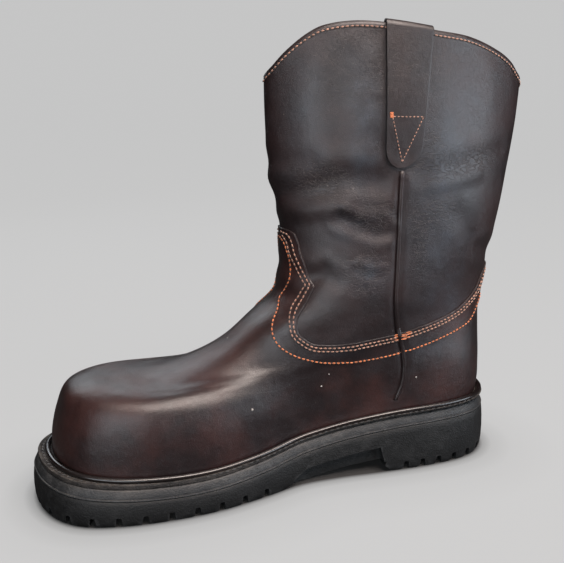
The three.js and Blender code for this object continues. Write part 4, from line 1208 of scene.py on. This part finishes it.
def buildOutsole():
    def downWall(share):
        return lambda t: mix(outsoleTop(t), treadHeight(t), share)
    rows = [(beyond(-1.2), outsoleTop), (beyond(-0.5), outsoleTop), (beyond(-0.1), above(outsoleTop, -0.5))]
    rows += [(beyond(out), downWall(share)) for out, share in (
        (0.35, 0.14), (0.8, 0.32), (sole["swell"], 0.55), (0.8, 0.78), (0.3, 0.93))]
    rows.append((beyond(-0.9), treadHeight))
    body = makeObject("outsole_boot", ringSkin(rows), [materials["outsole"]])

    breastTop = sole["heelLength"] + tread["breastRun"]
    waistEnd = last["throat"] + tread["waistReach"]

    def wallHeight(s):
        return float(outsoleTop((s - sole["heelLedge"]) / last["length"])) - sole["waistWall"]

    def waistLine(drop):
        heel = sole["heelLength"]
        points = [(heel, -20), (heel, 0), (heel + tread["footRun"], tread["footRise"]),
                  (breastTop - drop * 0.4, max(8, wallHeight(breastTop) - drop))]
        for s in (mix(breastTop, waistEnd, share) for share in (0.3, 0.55, 0.75)):
            points.append((s, max(0.5, wallHeight(s) - drop)))
        return points + [(waistEnd, 0), (waistEnd, -20)]
    high = sideBlock(waistLine(0))
    shank = [(beyond(-sole["shankInset"]), level(height)) for height in (-30, 90)]
    cutWith(high, makeObject("tool", ringSkin(shank, 160), []))
    cutWith(body, high)
    cutWith(body, sideBlock(waistLine(sole["shankDepth"])))

    within = beyond(-sole["lugBand"])
    inside = [(within, level(-30)), (within, above(treadHeight, sole["lug"]))]
    heelPocket = (sole["lugBand"], sole["heelLength"] - sole["lugBand"] / 2)
    for start, end in ((waistEnd, last["length"]), heelPocket):
        pocket = makeObject("tool", ringSkin(inside, 160), [])
        cutWith(pocket, sideBlock([(start, -50), (end, -50), (end, 100), (start, 100)]), "INTERSECT")
        cutWith(body, pocket)
    cutWith(body, notchTools())
    cutWith(body, lugRounding())

    bm = bmesh.new()
    first, final = waistEnd + tread["block"], last["length"] - sole["lugBand"]
    places = [(mix(first, final, k / 5), tread["block"], tread["blockWidth"]) for k in range(5)]
    places.append((final, tread["block"], tread["toeBlockWidth"]))
    heelMiddle = (sole["lugBand"] + sole["heelLength"]) / 2 - 3
    places.append((heelMiddle, tread["heelBlock"], tread["toeBlockWidth"]))
    for s, length, width in places:
        bottom = float(treadHeight(np.array((s - sole["heelLedge"]) / last["length"])))
        made = bmesh.ops.create_cube(bm, size=1)["verts"]
        low = [v for v in made if v.co.z < 0]
        bmesh.ops.scale(bm, vec=(0.86, 0.94, 1), verts=low)
        size = Matrix.Diagonal((length, width, sole["lug"] + 2, 1))
        place = Matrix.Translation((backX - s, midY, bottom + sole["lug"] / 2 + 1))
        bmesh.ops.transform(bm, matrix=place @ size, verts=made)
    cutWith(body, makeObject("tool", bm, []), "UNION")
    mesh = body.data
    mesh.materials.clear()
    mesh.materials.append(materials["outsole"])
    mesh.polygons.foreach_set("use_smooth", [True] * len(mesh.polygons))
    edge = body.modifiers.new("edge", "BEVEL")
    edge.width, edge.segments = tread["edge"] / 1000, 2
    edge.limit_method, edge.angle_limit = "ANGLE", math.radians(42)
    edge.use_clamp_overlap = True
    mesh.set_sharp_from_angle(angle=math.radians(50))
    keep(body, replaces=["outsole"])


def buildMidsole():
    slope = sole["midsoleBevel"]
    top = above(weltTop, -sole["weltThickness"] - sole["gap"])
    bottom = above(top, -sole["midsole"])
    lower = ((-0.7, 0), (-0.15, 0.2), (0, 0.7), (-0.2, 1.15), (-0.75, 1.35), (-0.8, 1.7), (-1.2, 3.2))
    upper = ((0.3, -0.9), (-0.2, -0.2), (-0.8, 0))
    rows = [(-10, bottom)] + [(beyond(out), above(bottom, up)) for out, up in lower]
    rows += [(beyond(out - slope), above(top, up)) for out, up in upper] + [(-10, top)]
    bm = ringSkin(rows, 300, endless=True)
    keep(makeObject("midsole_boot", bm, [materials["midsole"]]), replaces=["midsole"])


def buildWelt():
    edge = beyond(-sole["midsoleBevel"] - sole["gap"])
    bead = shaft["overlay"] + 4 * sole["gap"]
    width, high, thick = sole["beadWidth"], sole["beadHeight"], sole["weltThickness"]
    inside = -(shaft["leather"] + sole["weltLap"])

    def inwards(share):
        return lambda t: mix(edge(t), bead + width, share)
    rows = [(inside, -thick), (above(edge, -0.3), -thick), (edge, -thick + 0.35), (edge, -0.8),
            (above(edge, -0.25), -0.25), (above(edge, -0.8), 0), (inwards(0.42), -0.1), (inwards(0.6), -0.75),
            (inwards(0.85), -0.8), (bead + width + 0.25, -0.55), (inside, -0.55)]
    rows = [(out, above(weltTop, up)) for out, up in rows]
    keep(makeObject("welt_strip", ringSkin(rows, 320, endless=True), [materials["welt"]]),
         replaces=["welt"])
    beadRows = []
    for k in range(14):
        angle = 2 * math.pi * k / 14
        off = bead + width / 2 + math.cos(angle) * width / 2 * (1.0 if math.sin(angle) > 0 else 0.94)
        up = 0.75 + math.sin(angle) * (high - 0.75 if math.sin(angle) > 0 else 1.2)
        beadRows.append((off, above(weltTop, up)))
    keep(makeObject("welt_bead", ringSkin(beadRows, 320, endless=True), [materials["bead"]]),
         replaces=["welt"])

    bm = bmesh.new()
    turn = np.linspace(0, 1, 1400)
    station = stationOf(turn)
    flat = outline(turn, inwards(0.72)(station))
    points = np.column_stack([flat, weltTop(station) - 0.72])
    points, normals = evenly(points, np.tile([0.0, 0.0, 1.0], (1400, 1)), 4.4)
    layStitches(bm, points, normals, 3.2, 1.15, 0.35, 0.22)
    keep(makeObject("welt_stitches", bm, [materials["blackThread"]]))


def buildInsole():
    rows = [(0, -sole["weltThickness"]), (0, 1.7), (-0.3, 2.2), (-1.0, sole["insoleRise"])]
    bm = ringSkin([(out - insoleInset, above(weltTop, up)) for out, up in rows], 160)
    keep(makeObject("insole_boot", bm, [materials["insole"]]), replaces=["insole"])


buildOutsole()
print("outsole cut")
buildMidsole()
buildWelt()
buildInsole()
print("sole made")


# Camera where the photograph was taken from
view = {"azimuth": 15.345, "elevation": 14.211, "distance": 525.69, "lens": 51.545, "roll": -0.761,
        "target": (158.38, -25.04, 139.14)}


def placeCamera():
    az, el, roll = (math.radians(view[key]) for key in ("azimuth", "elevation", "roll"))
    back = Vector((-math.sin(az) * math.cos(el), -math.cos(az) * math.cos(el), math.sin(el)))
    right = Vector((math.cos(az), -math.sin(az), 0))
    up = Vector((math.sin(az) * math.sin(el), math.cos(az) * math.sin(el), math.cos(el)))
    turnedRight = right * math.cos(roll) + up * math.sin(roll)
    turnedUp = up * math.cos(roll) - right * math.sin(roll)
    s, y, z = view["target"]
    target = Vector((backX - s, midY + y, z))
    data = bpy.data.cameras.new("camera")
    data.lens, data.sensor_width, data.sensor_fit = view["lens"], 36, "HORIZONTAL"
    data.clip_start, data.clip_end = 0.01, 50
    camera = bpy.data.objects.new("camera", data)
    scene.collection.objects.link(camera)
    axes = Matrix((turnedRight, turnedUp, back)).transposed().to_4x4()
    camera.matrix_world = Matrix.Translation((target + back * view["distance"]) * 0.001) @ axes
    scene.camera = camera


lights = [
    {"name": "overhead", "place": (0.22, -0.6, 1.12), "size": (0.85, 0.6),
     "power": 25, "colour": (1, 0.86, 0.79)},
    {"name": "behind", "place": (-0.25, 0.95, 0.75), "size": (0.9, 0.4),
     "power": 4, "colour": (0.9, 0.95, 1)},
    {"name": "front", "place": (-0.6, -1.1, 0.25), "size": (0.8, 0.8),
     "power": 9, "colour": (0.88, 0.94, 1)},
    {"name": "side", "place": (1.0, -0.75, 0.25), "size": (0.7, 0.8),
     "power": 10, "colour": (0.82, 0.91, 1)},
]
studio = {
    "tone": 0.6, "dark": 0.05, "flat": 0.93, "ambient": 0.16, "radius": 5.0, "curve": 3.0,
    # Rings of painted shadow in the floor's glow: (distance past the sole's edge, darkness)
    "shadow": ((-16, 1.0), (-1.5, 1.0), (2.5, 0.42), (9, 0.16), (24, 0.05), (60, 0.0)),
}


def placeLights():
    for row in lights:
        data = bpy.data.lights.new(row["name"], "AREA")
        data.shape, data.size, data.size_y = "RECTANGLE", *row["size"]
        data.energy, data.color = row["power"], row["colour"]
        light = bpy.data.objects.new(row["name"], data)
        scene.collection.objects.link(light)
        light.location = row["place"]
        light.rotation_euler = (Vector((0, 0, 0.12)) - light.location).to_track_quat("-Z", "Y").to_euler()
    world = bpy.data.worlds.new("studio")
    world.use_nodes = True
    world.node_tree.nodes["Background"].inputs["Color"].default_value = (0.9, 0.95, 1, 1)
    world.node_tree.nodes["Background"].inputs["Strength"].default_value = studio["ambient"]
    scene.world = world
    scene.view_settings.view_transform = "Standard"


# A wide pale bowl without a horizon, evenly bright for the lens through its own glow, with a painted soft
# shadow that follows the sole
def buildFloor():
    bm = bmesh.new()
    shade = bm.verts.layers.float.new("paintedShadow")
    turn = ringTurns(128)
    rings = []
    for off, dark in studio["shadow"]:
        flat = outline(turn, ledgeAt(stationOf(turn)) + off)
        rings.append(([(x, y, 0.0) for x, y in flat], dark))
    around = np.arctan2(rings[-1][0][0][1], rings[-1][0][0][0]) - 2 * np.pi * turn
    reach, curve = studio["radius"] * 1000, studio["curve"] * 1000
    bowl = [(reach, 0)] + [(reach + curve * math.sin(a), curve * (1 - math.cos(a)))
                           for a in np.linspace(0.15, math.pi / 2, 8)] + [(reach + curve, 9000)]
    rings += [([(math.cos(a) * r, math.sin(a) * r, z) for a in around], 0.0) for r, z in bowl]
    made = []
    for places, dark in rings:
        verts = bmesh.ops.create_circle(bm, cap_ends=False, segments=len(turn), radius=1)["verts"]
        for vert, place in zip(verts, places):
            vert.co = place
            vert[shade] = dark
        made.append(verts)
    for low, high in zip(made[:-1], made[1:]):
        edges = [e for e in bm.edges if all(v in low for v in e.verts) or all(v in high for v in e.verts)]
        bmesh.ops.bridge_loops(bm, edges=edges)
    bmesh.ops.contextual_create(bm, geom=[e for e in bm.edges if all(v in made[0] for v in e.verts)])
    bmesh.ops.recalc_face_normals(bm, faces=bm.faces)
    if sum(f.normal.z * f.calc_area() for f in bm.faces) < 0:
        bmesh.ops.reverse_faces(bm, faces=bm.faces)
    tone = studio["tone"]
    material, tree, shader, _ = startMaterial("paleFloor", (tone,) * 3, roughness=0.9, specular=0.0)
    seen = tree.nodes.new("ShaderNodeLightPath").outputs["Is Camera Ray"]
    paintedShadow = addNode(tree, "ShaderNodeAttribute", attribute_name="paintedShadow").outputs["Fac"]
    shown, glow = tone * (1 - studio["flat"]), tone * studio["flat"]
    tree.links.new(mixColour(tree, seen, (studio["dark"],) * 3, (shown,) * 3), shader.inputs["Base Color"])
    # painted shadow: the glow fades to near black under and around the sole
    lit = mixColour(tree, paintedShadow, (glow,) * 3, (0.004, 0.004, 0.004))
    tree.links.new(mixColour(tree, seen, (0, 0, 0), lit), shader.inputs["Emission Color"])
    shader.inputs["Emission Strength"].default_value = 1.0
    makeObject("floor", bm, [material])


placeCamera()
placeLights()
buildFloor()

print("scene ready")
